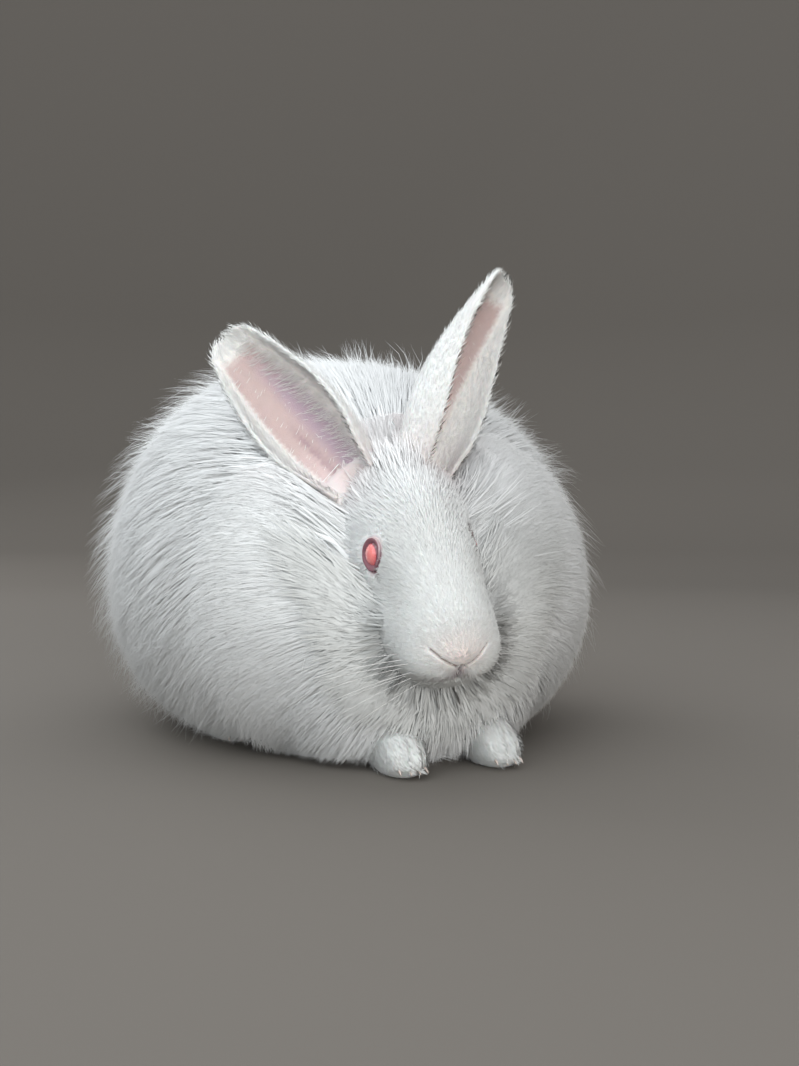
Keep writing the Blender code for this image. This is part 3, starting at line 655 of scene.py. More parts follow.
def ear_places(points, side_name):
    """Each point's share along an ear, place across it from -1 to 1, depth inside the sheet, directions
    along and across, and the place across as seen into the opening, from -1 at the outer rim to 1 at the
    rim nearer the middle of the head.
    """
    along, wide = EAR_GRID
    share, across = np.meshgrid(np.linspace(0, 1, along), np.linspace(-1, 1, wide), indexing="ij")
    share, across = share.ravel(), across.ravel()
    sheet = ear_point(side_name, share, across)
    found = nearest(tree_of(sheet), points)
    step = 0.01
    ahead, behind = np.clip(share + step, 0, 1), np.clip(share - step, 0, 1)
    forward = ear_point(side_name, ahead, across) - ear_point(side_name, behind, across)
    sideways = ear_point(side_name, share, across + step) - ear_point(side_name, share, across - step)
    inward = unit(np.cross(sideways, forward))
    _, _, _, facing, _ = ear_frame(side_name)
    middle = np.abs(across) < 0.1
    if dot(inward[middle], facing).mean() < 0:
        inward = -inward
    inner = dot(points - sheet[found], inward[found])
    share, across = share[found], across[found]
    curl = np.radians(smooth_table(EAR_STATIONS, 2, share))
    angle = np.clip(np.abs(across) * curl, 0, math.pi / 2)
    seen = np.sign(across) * np.sin(angle) / np.sin(np.minimum(curl, math.pi / 2))
    seen = seen * EAR_MEDIAL_WAY[side_name]
    return share, across, inner, unit(forward)[found], unit(sideways)[found], seen


# Colours, the same on the skin and on the fur that grows from it


WOOL = np.array([0.984, 0.991, 0.996])
# White fur of the head and legs, painted darker than the same fur of the wool: painted shade
FACE_FUR_SHADED = np.array([0.770, 0.773, 0.760])
NOSE_PINK = np.array([0.84, 0.70, 0.66])
# Painted shade in the nostril slits and the cleft of the nose
CREASE_SHADE = np.array([0.22, 0.15, 0.14])
STAIN = np.array([0.34, 0.24, 0.28])
# Pink of the lids, greyed as painted shade round the eye
LID_PINK_AND_SHADE = np.array([0.66, 0.52, 0.53])
LID_GREY = np.array([0.25, 0.115, 0.14])
# Painted shade along the lids of the left eye
LEFT_LID_SHADE = np.array([0.14, 0.11, 0.11])
TEAR = np.array([0.26, 0.22, 0.22])
EAR_BEIGE = np.array([0.61, 0.47, 0.455])
EAR_MAUVE = np.array([0.52, 0.395, 0.465])
# Painted shade along the fold inside an ear
EAR_FOLD_SHADE = np.array([0.34, 0.21, 0.25])
# Pink of the ear's lobe, darkened as painted shade of the cup
EAR_LOBE_SHADED = np.array([0.70, 0.55, 0.54])
EAR_WHITE = np.array([0.91, 0.91, 0.895])
EAR_CREAM = np.array([0.93, 0.91, 0.885])


def blend(colour, towards, share):
    return colour + (towards - colour) * np.clip(share, 0, 1)[:, None]


def ear_colours(share, seen):
    """The inside of an ear: beige to mauve with painted shade along the fold, a pink lobe below darkened by
    painted shade, and cream near the rims.
    """
    mauve = fade(seen, -0.30, 0.15) * fade(share, 0.95, 0.60)
    colour = blend(np.tile(EAR_BEIGE, (len(share), 1)), EAR_MAUVE, mauve)
    # The pink lobe, darkened by painted shade
    lobe = fade(seen, -0.22, -0.45) * fade(share, 0.42, 0.20)
    colour = blend(colour, EAR_LOBE_SHADED, lobe)
    # Painted shade along the fold
    fold_shade = 0.6 * bell(seen + 0.36, 0.10) * fade(share, 0.05, 0.14) * fade(share, 0.55, 0.38)
    colour = blend(colour, EAR_FOLD_SHADE, fold_shade)
    cream = np.maximum.reduce([fade(seen, 0.35, 0.75), fade(seen, -0.72, -0.86), fade(share, 0.86, 0.93)])
    return blend(colour, EAR_CREAM, cream)


def nose_markings(colour, p, head, bare):
    """The pink pad of the nose, painted shade in its slits and cleft, and the stain under it."""
    front = head * fade(p[:, 1], 0.026, 0.012)
    nostril = groove_distance(p, NOSTRIL_GROOVE)
    cleft = groove_distance(p, CLEFT_GROOVE)
    pad = bell(p - [0.0, 0.002, 0.0005], [0.0115, 0.012, 0.0075])
    colour = blend(colour, NOSE_PINK, front * pad * (0.45 + 0.40 * bare))
    # Painted shade along the nostril slits and the cleft
    slit_shade = np.maximum(bell(nostril, 0.0005), 0.9 * bell(cleft, 0.0008))
    colour = blend(colour, CREASE_SHADE, front * slit_shade * (0.35 + 0.40 * bare))
    stain = bell(p - [-0.0005, 0.004, -0.0105], [0.0036, 0.012, 0.0028])
    drift = bell(p - [-0.0050, 0.004, -0.0125], [0.0050, 0.012, 0.0020])
    return blend(colour, STAIN, front * np.maximum(0.80 * stain, 0.40 * drift))


def eye_markings(colour, points, head, side, bare):
    """The lids' pink, partly greyed as painted shade, and their grey, the tear streak, and painted shade
    along the left eye's lids.
    """
    outward, along, upward = eye_frame(side)
    offset = points - eye_centre(side)
    a, b = offset @ along, offset @ upward
    beyond = beyond_lids(a, b)
    near = head * (offset @ outward > 0) * (np.hypot(a, b) < 0.02)
    # Pink round the lids, partly painted shade
    colour = blend(colour, LID_PINK_AND_SHADE, near * fade(beyond, 0.0038, 0.0022) * (0.20 + 0.45 * bare))
    colour = blend(colour, LID_GREY, near * fade(beyond, 0.0024, 0.0016) * (0.3 + 0.7 * bare))
    streak = np.exp(-(((a + LID_LENGTH / 2 + 0.0040) / 0.0030) ** 2) - ((b + 0.0034) / 0.0011) ** 2)
    colour = blend(colour, TEAR, near * streak)
    # Painted shade along the lids of the left eye only
    if side > 0:
        colour = blend(colour, LEFT_LID_SHADE, near * fade(beyond, 0.0050, 0.0028) * 0.9)
    return colour


def markings(points, regions, bare):
    """The colour of skin or of the fur rooted there. Bare is 1 on skin, which shows more pink than fur."""
    # On the coats the fur is wool white; elsewhere it is the same white, darkened as painted shade
    colour = np.where(np.isin(regions, list(COATS))[:, None], WOOL, FACE_FUR_SHADED)
    colour = np.where(np.char.startswith(regions.astype(str), "ear")[:, None], EAR_WHITE, colour)
    p = to_head(points)
    head = regions == "head"
    colour = blend(colour, WOOL, head * fade(p[:, 1], 0.050, 0.095))
    colour = nose_markings(colour, p, head, bare)
    for side, side_name in SIDES:
        colour = eye_markings(colour, points, head, side, bare)
        base, _, axis, facing, _ = ear_frame(side_name)
        # A pink patch at the foot of each ear, darkened as painted shade
        lobe = base + axis * 0.0105 - facing * 0.002
        pink = 0.9 * bell(np.linalg.norm(points - lobe, axis=1), 0.016)
        colour = blend(colour, EAR_LOBE_SHADED, pink)
        ear = regions == f"ear_{side_name}"
        if not ear.any():
            continue
        share, _, inner, _, _, seen = ear_places(points[ear], side_name)
        colour[ear] = blend(colour[ear], ear_colours(share, seen), bare * fade(inner, 0.0, 0.0006))
    return colour


def fur_colours(roots, region):
    return markings(roots, np.full(len(roots), region), 0.0)


def paint(mesh, colours):
    layer = mesh.color_attributes.new("coat", "FLOAT_COLOR", "POINT")
    layer.data.foreach_set("color", np.c_[colours, np.ones(len(colours))].astype(np.float32).ravel())


# Wool and fur


def strands(name, paths, widths, flatness, normals, colours, shades, patches, soften):
    """Closed three-sided strands along paths of n points, each ending in a tip.

    widths is one row of shares along the path times a width for each strand, colours a root colour for
    each strand, shades a row of tones along the path, which darken the roots of wool and fur as painted
    shade, patches each root's place on the unwrap, and soften how far the shading follows the coat's own
    surface.
    """
    count, steps = paths.shape[:2]
    rings = steps - 1
    forward = unit(np.diff(paths, axis=1))
    across = unit(np.cross(forward, normals[:, None, :] + 1e-4))
    upward = np.cross(across, forward)
    corners = []
    for angle in (math.radians(90), math.radians(210), math.radians(330)):
        spoke = across * math.cos(angle) + upward * math.sin(angle) * flatness
        corners.append(paths[:, :rings] + spoke * widths[:, :rings, None])
    ring_points = np.stack(corners, axis=2).reshape(count, rings * 3, 3)
    points = np.concatenate([ring_points, paths[:, -1:]], axis=1)
    points[:, :, 2] = np.maximum(points[:, :, 2], FLOOR_CLEARANCE)
    per = rings * 3 + 1
    faces = [(0, 1, 2)]
    for r in range(rings - 1):
        for k in range(3):
            n = (k + 1) % 3
            faces.append((r * 3 + n, r * 3 + k, (r + 1) * 3 + n))
            faces.append(((r + 1) * 3 + n, r * 3 + k, (r + 1) * 3 + k))
    faces += [((rings - 1) * 3 + (k + 1) % 3, (rings - 1) * 3 + k, per - 1) for k in range(3)]
    faces = np.array(faces)
    triangles = (np.arange(count)[:, None, None] * per + faces).reshape(-1, 3)
    mesh = bpy.data.meshes.new(name)
    mesh.vertices.add(count * per)
    mesh.vertices.foreach_set("co", points.astype(np.float32).ravel())
    mesh.loops.add(len(triangles) * 3)
    mesh.loops.foreach_set("vertex_index", triangles.astype(np.int32).ravel())
    mesh.polygons.add(len(triangles))
    mesh.polygons.foreach_set("loop_start", np.arange(0, len(triangles) * 3, 3, dtype=np.int32))
    mesh.update(calc_edges=True)
    mesh.shade_smooth()
    along = np.concatenate([np.repeat(np.arange(rings), 3), [rings]]) / rings
    sideways = np.concatenate([np.tile([0.0, 0.5, 1.0], rings), [0.5]])
    local = np.stack([sideways, along], axis=1) * PATCH
    places = (patches[:, None, :] * (1 - PATCH) + local).reshape(-1, 2)
    layer = mesh.uv_layers.new(name="OFBake")
    layer.uv.foreach_set("vector", places[triangles.ravel()].astype(np.float32).ravel())
    tones = np.concatenate([np.repeat(shades[:rings], 3), shades[rings:]])
    paint(mesh, np.clip(colours[:, None, :] * tones[None, :, None], 0, 1).reshape(-1, 3))
    own = unit(points - np.concatenate([np.repeat(paths[:, :rings], 3, axis=1), paths[:, -2:-1]], axis=1))
    shading = unit(normals[:, None, :] * soften + own * (1 - soften)).reshape(-1, 3)
    mesh.normals_split_custom_set_from_vertices(shading.tolist())
    return linked(name, mesh)


# The side of a strand's patch on the unwrap, and how high strands stay above the floor
PATCH = 0.003
FLOOR_CLEARANCE = 0.0004
WOOL_CLEARANCE = 0.0008
FUR_CLEARANCE = 0.0005
# How far strands of wool keep from the head, from its front and from the middle of an eye
HEAD_CLEARANCE = 0.0004
FACE_CLEARANCE = 0.0060
EYE_CLEARANCE = 0.015
# How far a strand's shading follows the coat's surface instead of its own
COAT_SOFTNESS = 0.97
STRANDS_IN_CLUMP = 26
# Where strands end that lie over another coat, as shares of its outline, and how much lower wide ones end
NECK_OVER_TORSO = (0.978, 0.990)
CHEEKS_OVER_COATS = (0.974, 0.996)
LOWER_BY_WIDTH = 20
FACE_STRANDS = 17000
# number of strands and half width of each layer
CHEEK_LAYERS = ((5500, 0.00048), (10000, 0.00020))
EAR_STRANDS = 6000
FOOT_STRANDS = {"foreleg": 2300, "hindleg": 2400}


def scatter(skin, weight, count, rng):
    """Roots spread over the skin's faces by a weight at each vertex, and the way the skin faces there."""
    mesh = skin.data
    count = int(count * FEW)
    mesh.calc_loop_triangles()
    corners = np.empty(len(mesh.loop_triangles) * 3, np.int32)
    mesh.loop_triangles.foreach_get("vertices", corners)
    corners = corners.reshape(-1, 3)
    points, normals = points_of(mesh), points_of(mesh, what="normal")
    a, b, c = (points[corners[:, k]] for k in range(3))
    area = np.linalg.norm(np.cross(b - a, c - a), axis=1) * weight[corners].min(axis=1)
    edges = np.cumsum(area)
    # one draw in each equal share of the area, so that roots are spread evenly
    draws = (np.arange(count) + rng.random(count)) / count * edges[-1]
    chosen = np.minimum(np.searchsorted(edges, draws), len(corners) - 1)
    u, v = rng.random((2, count))
    turned = u + v > 1
    u, v = np.where(turned, 1 - u, u), np.where(turned, 1 - v, v)
    mix = np.stack([1 - u - v, u, v], axis=1)
    picked = corners[chosen]
    roots = (points[picked] * mix[:, :, None]).sum(axis=1)
    return roots, unit((normals[picked] * mix[:, :, None]).sum(axis=1))


def curve_points(root, shoulder, tip, shares):
    """Points of the bend root, shoulder, tip."""
    t = np.array(shares)[None, :, None]
    return root[:, None] * (1 - t) ** 2 + shoulder[:, None] * 2 * t * (1 - t) + tip[:, None] * t**2


def clumped(paths, rng, clumps, gather, shares):
    """Draws neighbouring strands towards the nearest of a few leading ones, most at their tips."""
    leaders = rng.choice(len(paths), clumps, replace=False)
    mine = leaders[nearest(tree_of(paths[leaders, -2]), paths[:, -2])]
    pull = (np.array(shares) ** 1.5)[None, :, None] * gather[:, None, None]
    return paths + (paths[mine] - paths) * pull


def unwrap_ball(offsets):
    """Each place's longitude and height round a centre, which is the unwrap of a round part of the skin."""
    x, y, z = unit(offsets).T
    return np.stack([np.arctan2(y, x) / (2 * math.pi) + 0.5, z / 2 + 0.5], axis=1)


def coat_normals(places):
    """The way the wool's surface faces near some places, smooth from the ruff to the body."""
    torso, neck = places - BODY_CENTRE, places - NECK_CENTRE
    outside_torso = np.linalg.norm(torso, axis=1) - coat_reach(unit(torso))
    outside_neck = np.linalg.norm(neck, axis=1) - ruff_reach(unit(neck))
    share = fade(outside_neck - outside_torso, -0.014, 0.014)[:, None]
    return unit(unit(torso / body_sizes(torso) ** 2) * share + unit(neck / NECK_REACH**2) * (1 - share))


def lifted_over(paths, name, share):
    """Lifts the outer parts of strands that would dive under another coat to a share of its outline."""
    centre, reach, _, _, _ = COATS[name]
    lifted = paths.copy()
    last = paths.shape[1] - 1
    for step in range(1, last + 1):
        offset = paths[:, step] - centre
        ways = unit(offset)
        wanted = reach(ways) * (share - 0.02 * (step < last))
        lifted[:, step] = centre + ways * np.maximum(np.linalg.norm(offset, axis=1), wanted)[:, None]
    return lifted


def onto_cheeks(paths):
    """Lifts the parts of strands that would run through the head onto its sides."""
    p = to_head(paths[:, 1:])
    behind = np.clip(p[:, :, 1], 0.0, HEAD_LENGTH)
    top, bottom, half_width, low_heavy = head_sections(behind)
    middle = (top + bottom) / 2
    upward = (p[:, :, 2] - middle) / ((top - bottom) / 2)
    across = p[:, :, 0] / (half_width * (1 - low_heavy * np.clip(upward, -1, 1)))
    ring = np.hypot(across, upward)
    inside = (ring < 1.07) & (p[:, :, 1] > 0.0) & (p[:, :, 1] < HEAD_LENGTH)
    factor = np.where(inside, 1.07 / np.maximum(ring, 0.2), 1.0)
    p[:, :, 0] *= factor
    p[:, :, 2] = middle + (p[:, :, 2] - middle) * factor
    paths = paths.copy()
    paths[:, 1:] = from_head(p)
    return paths


def over_an_ear(paths):
    """Which strands stand in the opening of an ear or in front of it."""
    over = np.zeros(len(paths), bool)
    for step in range(1, paths.shape[1]):
        for _, side_name in SIDES:
            base, tip, axis, facing, sideways = ear_frame(side_name)
            share = (paths[:, step] - base) @ axis / np.linalg.norm(tip - base)
            half_width = smooth_table(EAR_STATIONS, 1, share)
            back = (EAR_BACKSET * (1 - share) + EAR_BOW)[:, None]
            middle = base + share[:, None] * (tip - base) - facing * back
            offset = paths[:, step] - middle
            front = offset @ facing
            across = np.abs(offset @ sideways) < half_width * 0.95
            over |= across & (front > -0.001) & (front < 0.045) & (share > 0.03) & (share < 1.0)
    return over


def clear_of_face(paths):
    """Which strands keep out of the head, the face, the eyes and the cups of the ears."""
    free = np.ones(len(paths), bool)
    for step in range(1, paths.shape[1]):
        places = paths[:, step]
        free &= ~within_head(places, HEAD_CLEARANCE)
        p = to_head(places)
        on_head = within_head(places, FACE_CLEARANCE)
        free &= ~(on_head & ((p[:, 1] < 0.046) | ((p[:, 2] > 0.012) & (p[:, 1] < 0.090))))
        for side, _ in SIDES:
            eye = eye_centre(side) + eye_frame(side)[0] * EYE_RADIUS
            free &= np.linalg.norm(places - eye, axis=1) > EYE_CLEARANCE
    return free & ~over_an_ear(paths)


# Places along a strand, its width there and its shade there, a little darker at the root as painted shade
SHORT_STRAND = ((0.0, 0.62, 1.0), (0.8, 1.0, 0.0), (0.97, 1.0, 1.0))
LONG_STRAND = ((0.0, 0.50, 0.78, 1.0), (0.8, 1.0, 0.75, 0.0), (0.97, 0.99, 1.0, 1.0))


def wool(skin, labels, name, layer, seed):
    """One layer of long wool of one coat, from the skin out to the coat's outline."""
    count, pieces, width, reach_range, gather, wispy, flatness, (shares, widths, shades) = layer
    centre, reach, _, lie_of, lean = COATS[name]
    rng = np.random.default_rng(seed)
    roots, _ = scatter(skin, (labels == name).astype(float), count, rng)
    ways = unit(roots - centre + rng.normal(0, 0.004, roots.shape))
    edge = ways * reach(ways)[:, None]
    lie = lie_of(edge)
    lie = unit(lie - ways * dot(lie, ways)[:, None])
    lie = unit(lie + rng.normal(0, 0.07 + 0.30 * wispy, lie.shape))
    shortest, longest = (0.65, 1.45) if name == "neck" else (0.75, 1.25)
    lay = lie * lean * rng.uniform(shortest, longest + 0.3 * wispy, len(roots))[:, None]
    share = rng.uniform(*reach_range, len(roots))[:, None]
    aim = unit(edge + lay * 0.80)
    tip = centre + aim * reach(aim)[:, None] * share
    bend = unit(edge - lay * 0.05)
    shoulder = centre + bend * reach(bend)[:, None] * (share - 0.02 - 0.10 * wispy)
    shoulder += rng.normal(0, 0.0006 + 0.0022 * wispy, roots.shape)
    shoulder[:, 2] = np.maximum(shoulder[:, 2], 0.006)
    tip[:, 2] = np.maximum(tip[:, 2], rng.uniform(0.0008, 0.006, len(tip)))
    paths = curve_points(roots, shoulder, tip, shares)
    clumps = max(int(len(paths) / STRANDS_IN_CLUMP), 4)
    paths = clumped(paths, rng, clumps, rng.uniform(*gather, len(paths)), shares)
    paths[:, 1:-1] += rng.normal(0, 0.0004 + 0.0012 * wispy, paths[:, 1:-1].shape)
    paths[:, 1:, 2] = np.maximum(paths[:, 1:, 2], WOOL_CLEARANCE)
    if name == "neck":
        level = rng.uniform(*NECK_OVER_TORSO, len(paths)) - LOWER_BY_WIDTH * width
        paths = onto_cheeks(lifted_over(paths, "torso", level))
    paths[:, 1:, 2] = np.maximum(paths[:, 1:, 2], WOOL_CLEARANCE)
    keep = clear_of_face(paths)
    paths, roots = paths[keep], roots[keep]
    normals = unit(paths[:, -1] - centre) if name == "tail" else coat_normals(paths[:, -1])
    sizes = rng.uniform(0.7, 1.3, len(paths)) * width
    tones = rng.uniform(0.97, 1.02, len(roots))[:, None]
    colours = fur_colours(roots, name) * tones
    patches = unwrap_ball(roots - centre)
    paths, sizes, shades = paths + SHIFT, sizes[:, None] * np.array(widths), np.array(shades)
    made = []
    for k in range(pieces):
        part = slice(k, None, pieces)
        shape = (paths[part], sizes[part], flatness, normals[part])
        look = (colours[part], shades, patches[part], COAT_SOFTNESS)
        made.append(strands(f"wool_{name}_{seed}_{k}", *shape, *look))
    return made


def short_fur(name, roots, normals, lie, length, lift, width, colours, patches, seed, sway=0.12, over=()):
    """Tufts that lie along lie, each raised by lift from the skin, and over the coats that are named."""
    rng = np.random.default_rng(seed)
    shares, widths, shades = SHORT_STRAND
    lie = unit(lie - normals * dot(lie, normals)[:, None])
    lie = unit(lie + rng.normal(0, sway, lie.shape))
    length = (length * rng.uniform(0.75, 1.25, len(roots)))[:, None]
    lift = np.broadcast_to(lift, len(roots))[:, None]
    middle = roots + lie * length * 0.42 + normals * length * lift
    tip = roots + lie * length + normals * length * lift * 1.25
    paths = curve_points(roots - normals * 0.0004, middle, tip, shares)
    sizes = (width * rng.uniform(0.7, 1.3, len(roots)))[:, None] * np.array(widths)
    colours = colours * rng.uniform(0.93, 1.03, len(roots))[:, None]
    if over:
        level = rng.uniform(*CHEEKS_OVER_COATS, len(roots)) - LOWER_BY_WIDTH * width
        for coat in over:
            paths = lifted_over(paths, coat, level)
        facing = fade(np.linalg.norm(paths[:, -1] - roots, axis=1), 0.008, 0.024)[:, None]
        normals = unit(normals * (1 - facing) + coat_normals(paths[:, -1]) * facing)
        keep = ~over_an_ear(paths)
        every = (paths, sizes, normals, colours, patches)
        paths, sizes, normals, colours, patches = (item[keep] for item in every)
    paths[:, 1:, 2] = np.maximum(paths[:, 1:, 2], FUR_CLEARANCE)
    shades = np.array(shades)
    return strands(name, paths + SHIFT, sizes, 0.4, normals, colours, shades, patches, COAT_SOFTNESS)


def round_the_eyes(roots, lie, length):
    """Turns the fur near an eye so that it grows away from the lids, and shortens it there."""
    for side, _ in SIDES:
        outward, along, upward = eye_frame(side)
        offset = roots - eye_centre(side)
        a, b = offset @ along, offset @ upward
        beyond = beyond_lids(a, b)
        close = fade(beyond, 0.010, 0.002) * (offset @ outward > 0)
        away = unit(along * a[:, None] + upward * b[:, None])
        lie = unit(lie) * (1 - 0.85 * close[:, None]) + away * 0.85 * close[:, None]
        length = length * (1 - 0.55 * close)
    return lie, length


def head_patches(q):
    """Places of the head's frame on its unwrap: the angle round its axis, and how far behind the nose."""
    around = np.arctan2(q[:, 0], q[:, 2]) / (2 * math.pi) + 0.5
    return np.clip(np.stack([around, q[:, 1] / HEAD_LENGTH], axis=1), 0, 1)


def face_lie(q):
    """The lie of the face's fur in the head's frame: back from the nose, and outwards round the muzzle."""
    x, y, z = q.T
    sideways = 0.35 * np.sign(x) * fade(np.abs(x), 0.0, 0.02)
    lie = np.stack([sideways, np.full(len(y), 1.0), -0.35 * fade(z, 0.02, -0.02)], axis=1)
    muzzle = fade(y, 0.022, 0.006)[:, None]
    radial = np.stack([x, np.full(len(x), 0.012), z + 0.004], axis=1)
    return lie * (1 - muzzle) + unit(radial) * muzzle


def head_fur(skin, labels, lids, piece):
    """Half of the short fur of the face."""
    rng = np.random.default_rng(21 + piece)
    points = points_of(skin.data)
    p = to_head(points)
    nostril = fade(groove_distance(p, NOSTRIL_GROOVE), 0.0014, 0.0007) * fade(p[:, 1], 0.024, 0.014)
    bare = np.maximum(lids, nostril)
    weight = (labels == "head") * (1 - bare) * (0.7 + 0.8 * fade(p[:, 1], 0.070, 0.020))
    weight *= 1 - within_coat(points, 0.95)
    roots, normals = scatter(skin, weight, FACE_STRANDS / 2, rng)
    q = to_head(roots)
    length = 0.0026 + 0.0034 * fade(q[:, 1], 0.012, 0.070) + 0.006 * fade(q[:, 1], 0.070, 0.110)
    lie, length = round_the_eyes(roots, head_way(face_lie(q)), length)
    lift = 0.20 + 0.12 * fade(q[:, 1], 0.055, 0.10)
    colours = fur_colours(roots, "head")
    name = f"fur_head_{piece}"
    return short_fur(name, roots, normals, lie, length, lift, 0.00019, colours, head_patches(q), 22 + piece)


def cheek_wool(skin, labels, lids, count, width):
    """Longer fur on the cheeks, jaw, nape and crown, which hides where the head leaves the ruff."""
    rng = np.random.default_rng(count)
    points = points_of(skin.data)
    p = to_head(points)
    x, y, z = p.T
    higher = 0.020 * fade(y, 0.070, 0.090)
    cheek = fade(y, 0.026, 0.050) * fade(z, 0.004 + higher, -0.012 + higher)
    jaw = fade(y, 0.018, 0.034) * fade(z, -0.012, -0.026)
    crown = fade(y, 0.082, 0.094) * fade(z, 0.010, 0.030)
    crown = crown * (0.15 if width > 0.0003 else 0.8)
    weight = (labels == "head") * (1 - lids) * np.maximum.reduce([cheek, jaw, crown])
    weight = weight * (1 - within_coat(points, 0.95))
    roots, normals = scatter(skin, weight, count, rng)
    q = to_head(roots)
    x, y, z = q.T
    crown = fade(z, 0.012, 0.028)
    back = fade(y, 0.024, 0.072)
    low = fade(z, 0.000, -0.026)
    sideways = (0.45 + 0.65 * back + 0.3 * low) * np.sign(x) * fade(np.abs(x), 0.0, 0.02) * (1 - crown)
    lie = np.stack([sideways, 1.0 - 0.45 * low, 0.45 * crown - 0.95 * low], axis=1)
    length = (0.005 + 0.025 * back + 0.010 * low) * (1 - crown) + rng.uniform(0.006, 0.015, len(y)) * crown
    lift = 0.18 + 0.20 * back + 0.25 * low + 0.10 * crown
    colours = fur_colours(roots, "head")
    return short_fur(
        f"fur_cheeks_{count}", roots, normals, head_way(lie), length, lift, width, colours,
        head_patches(q), count, 0.20, ("neck", "torso"),
    )


def within_coat(points, share):
    """1 for points buried in the neck's or the torso's wool below a share of its reach."""
    buried = np.zeros(len(points))
    for name in ("neck", "torso"):
        centre, reach, depth, _, _ = COATS[name]
        offset = points - centre
        deepest = share * reach(unit(offset)) - depth * 0.6
        buried = np.maximum(buried, np.linalg.norm(offset, axis=1) < deepest)
    return buried


def ear_fur(skin, labels, side, side_name):
    """Short fur on an ear's back and rims, and long fine hairs from the inner rim over the opening."""
    rng = np.random.default_rng(31 + side)
    points = points_of(skin.data)
    mine = labels == f"ear_{side_name}"
    weight = np.zeros(len(points))
    share, _, inner, _, _, seen = ear_places(points[mine], side_name)
    rim = np.maximum(fade(np.abs(seen), 0.76, 0.90), fade(share, 0.86, 0.93))
    hairy = 0.05 + 0.75 * fade(seen, 0.20, 0.60)
    weight[mine] = np.where(inner > CUP_DEPTH, np.maximum(hairy, 1.5 * rim), 1.0)
    roots, normals = scatter(skin, weight, EAR_STRANDS, rng)
    share, across, inner, forward, sideways, seen = ear_places(roots, side_name)
    in_cup = (inner > CUP_DEPTH) & (np.abs(seen) < 0.84) & (share < 0.90)
    edge = fade(np.abs(across), 0.60, 0.95)
    outward = sideways * np.sign(across)[:, None]
    lie = forward + outward * (0.35 * edge)[:, None]
    lie = np.where(in_cup[:, None], forward * 0.55 - outward * 0.85, lie)
    length = 0.0036 + 0.0006 * edge + 0.0044 * in_cup * fade(seen, 0.1, 0.5)
    length *= 1 + 0.15 * fade(share, 0.85, 1.0)
    lift = np.where(in_cup, 0.20, 0.14 + 0.16 * edge * fade(share, 0.92, 0.80))
    width = np.where(in_cup, 0.00011, 0.00021)
    colours = fur_colours(roots, f"ear_{side_name}")
    colours[in_cup] = EAR_CREAM
    patches = np.clip(np.stack([across / 4 + np.where(inner > 0, 0.25, 0.75), share], axis=1), 0, 1)
    name = f"fur_ear_{side_name}"
    return short_fur(name, roots, normals, lie, length, lift, width, colours, patches, 33 + side, 0.14)


def foot_fur(skin, labels, leg, count, seed):
    rng = np.random.default_rng(seed)
    points = points_of(skin.data)
    mine = np.isin(labels, [f"{leg}_left", f"{leg}_right"])
    weight = mine * (points[:, 2] > 0.0012) * (1 - within_coat(points, 0.85))
    roots, normals = scatter(skin, weight, count, rng)
    lie = np.tile([0.0, -1.0, -0.35], (len(roots), 1))
    colours = fur_colours(roots, leg)
    toe, sizes = FEET[leg]
    sides = np.sign(roots[:, 0])
    middle = toe + np.array([0.0, sizes[0] / 2, sizes[2] / 2])
    ones = np.ones(len(sides))
    patches = unwrap_ball(roots - middle * np.stack([sides, ones, ones], axis=1))
    patches[:, 0] = patches[:, 0] / 2 + np.where(sides > 0, 0.5, 0.0)
    length, lift, width = np.full(len(roots), 0.0042), 0.20, 0.00026
    return short_fur(f"fur_{leg}s", roots, normals, lie, length, lift, width, colours, patches, seed, 0.14)


# Materials


def principled(name, roughness, **sockets):
    made = bpy.data.materials.new(name)
    made.use_nodes = True
    shader = made.node_tree.nodes["Principled BSDF"]
    shader.inputs["Roughness"].default_value = roughness
    for socket, value in sockets.items():
        shader.inputs[socket.replace("_", " ")].default_value = value
    return made, made.node_tree, shader


def noise_node(tree, place, scale, detail):
    noise = tree.nodes.new("ShaderNodeTexNoise")
    noise.inputs["Scale"].default_value = scale
    noise.inputs["Detail"].default_value = detail
    tree.links.new(place.outputs["Object"], noise.inputs["Vector"])
    return noise


def painted(name, roughness, grain, grain_share, bump=0.0, bump_scale=0.0, **sockets):
    """A material that wears the painted colours, mottled by a fine noise, with a bump if wanted."""
    made, tree, shader = principled(name, roughness, **sockets)
    colour = tree.nodes.new("ShaderNodeAttribute")
    colour.attribute_name = "coat"
    place = tree.nodes.new("ShaderNodeTexCoord")
    noise = noise_node(tree, place, grain, 4.0)
    strength = tree.nodes.new("ShaderNodeMapRange")
    strength.inputs["To Min"].default_value = 1.0 - grain_share
    strength.inputs["To Max"].default_value = 1.0 + grain_share * 0.5
    tree.links.new(noise.outputs["Fac"], strength.inputs["Value"])
    scaled = tree.nodes.new("ShaderNodeVectorMath")
    scaled.operation = "SCALE"
    tree.links.new(colour.outputs["Color"], scaled.inputs[0])
    tree.links.new(strength.outputs["Result"], scaled.inputs["Scale"])
    tree.links.new(scaled.outputs["Vector"], shader.inputs["Base Color"])
    if bump:
        fine = noise_node(tree, place, bump_scale, 3.0)
        raised = tree.nodes.new("ShaderNodeBump")
        raised.inputs["Strength"].default_value = bump
        raised.inputs["Distance"].default_value = 0.0006
        tree.links.new(fine.outputs["Fac"], raised.inputs["Height"])
        tree.links.new(raised.outputs["Normal"], shader.inputs["Normal"])
    return made


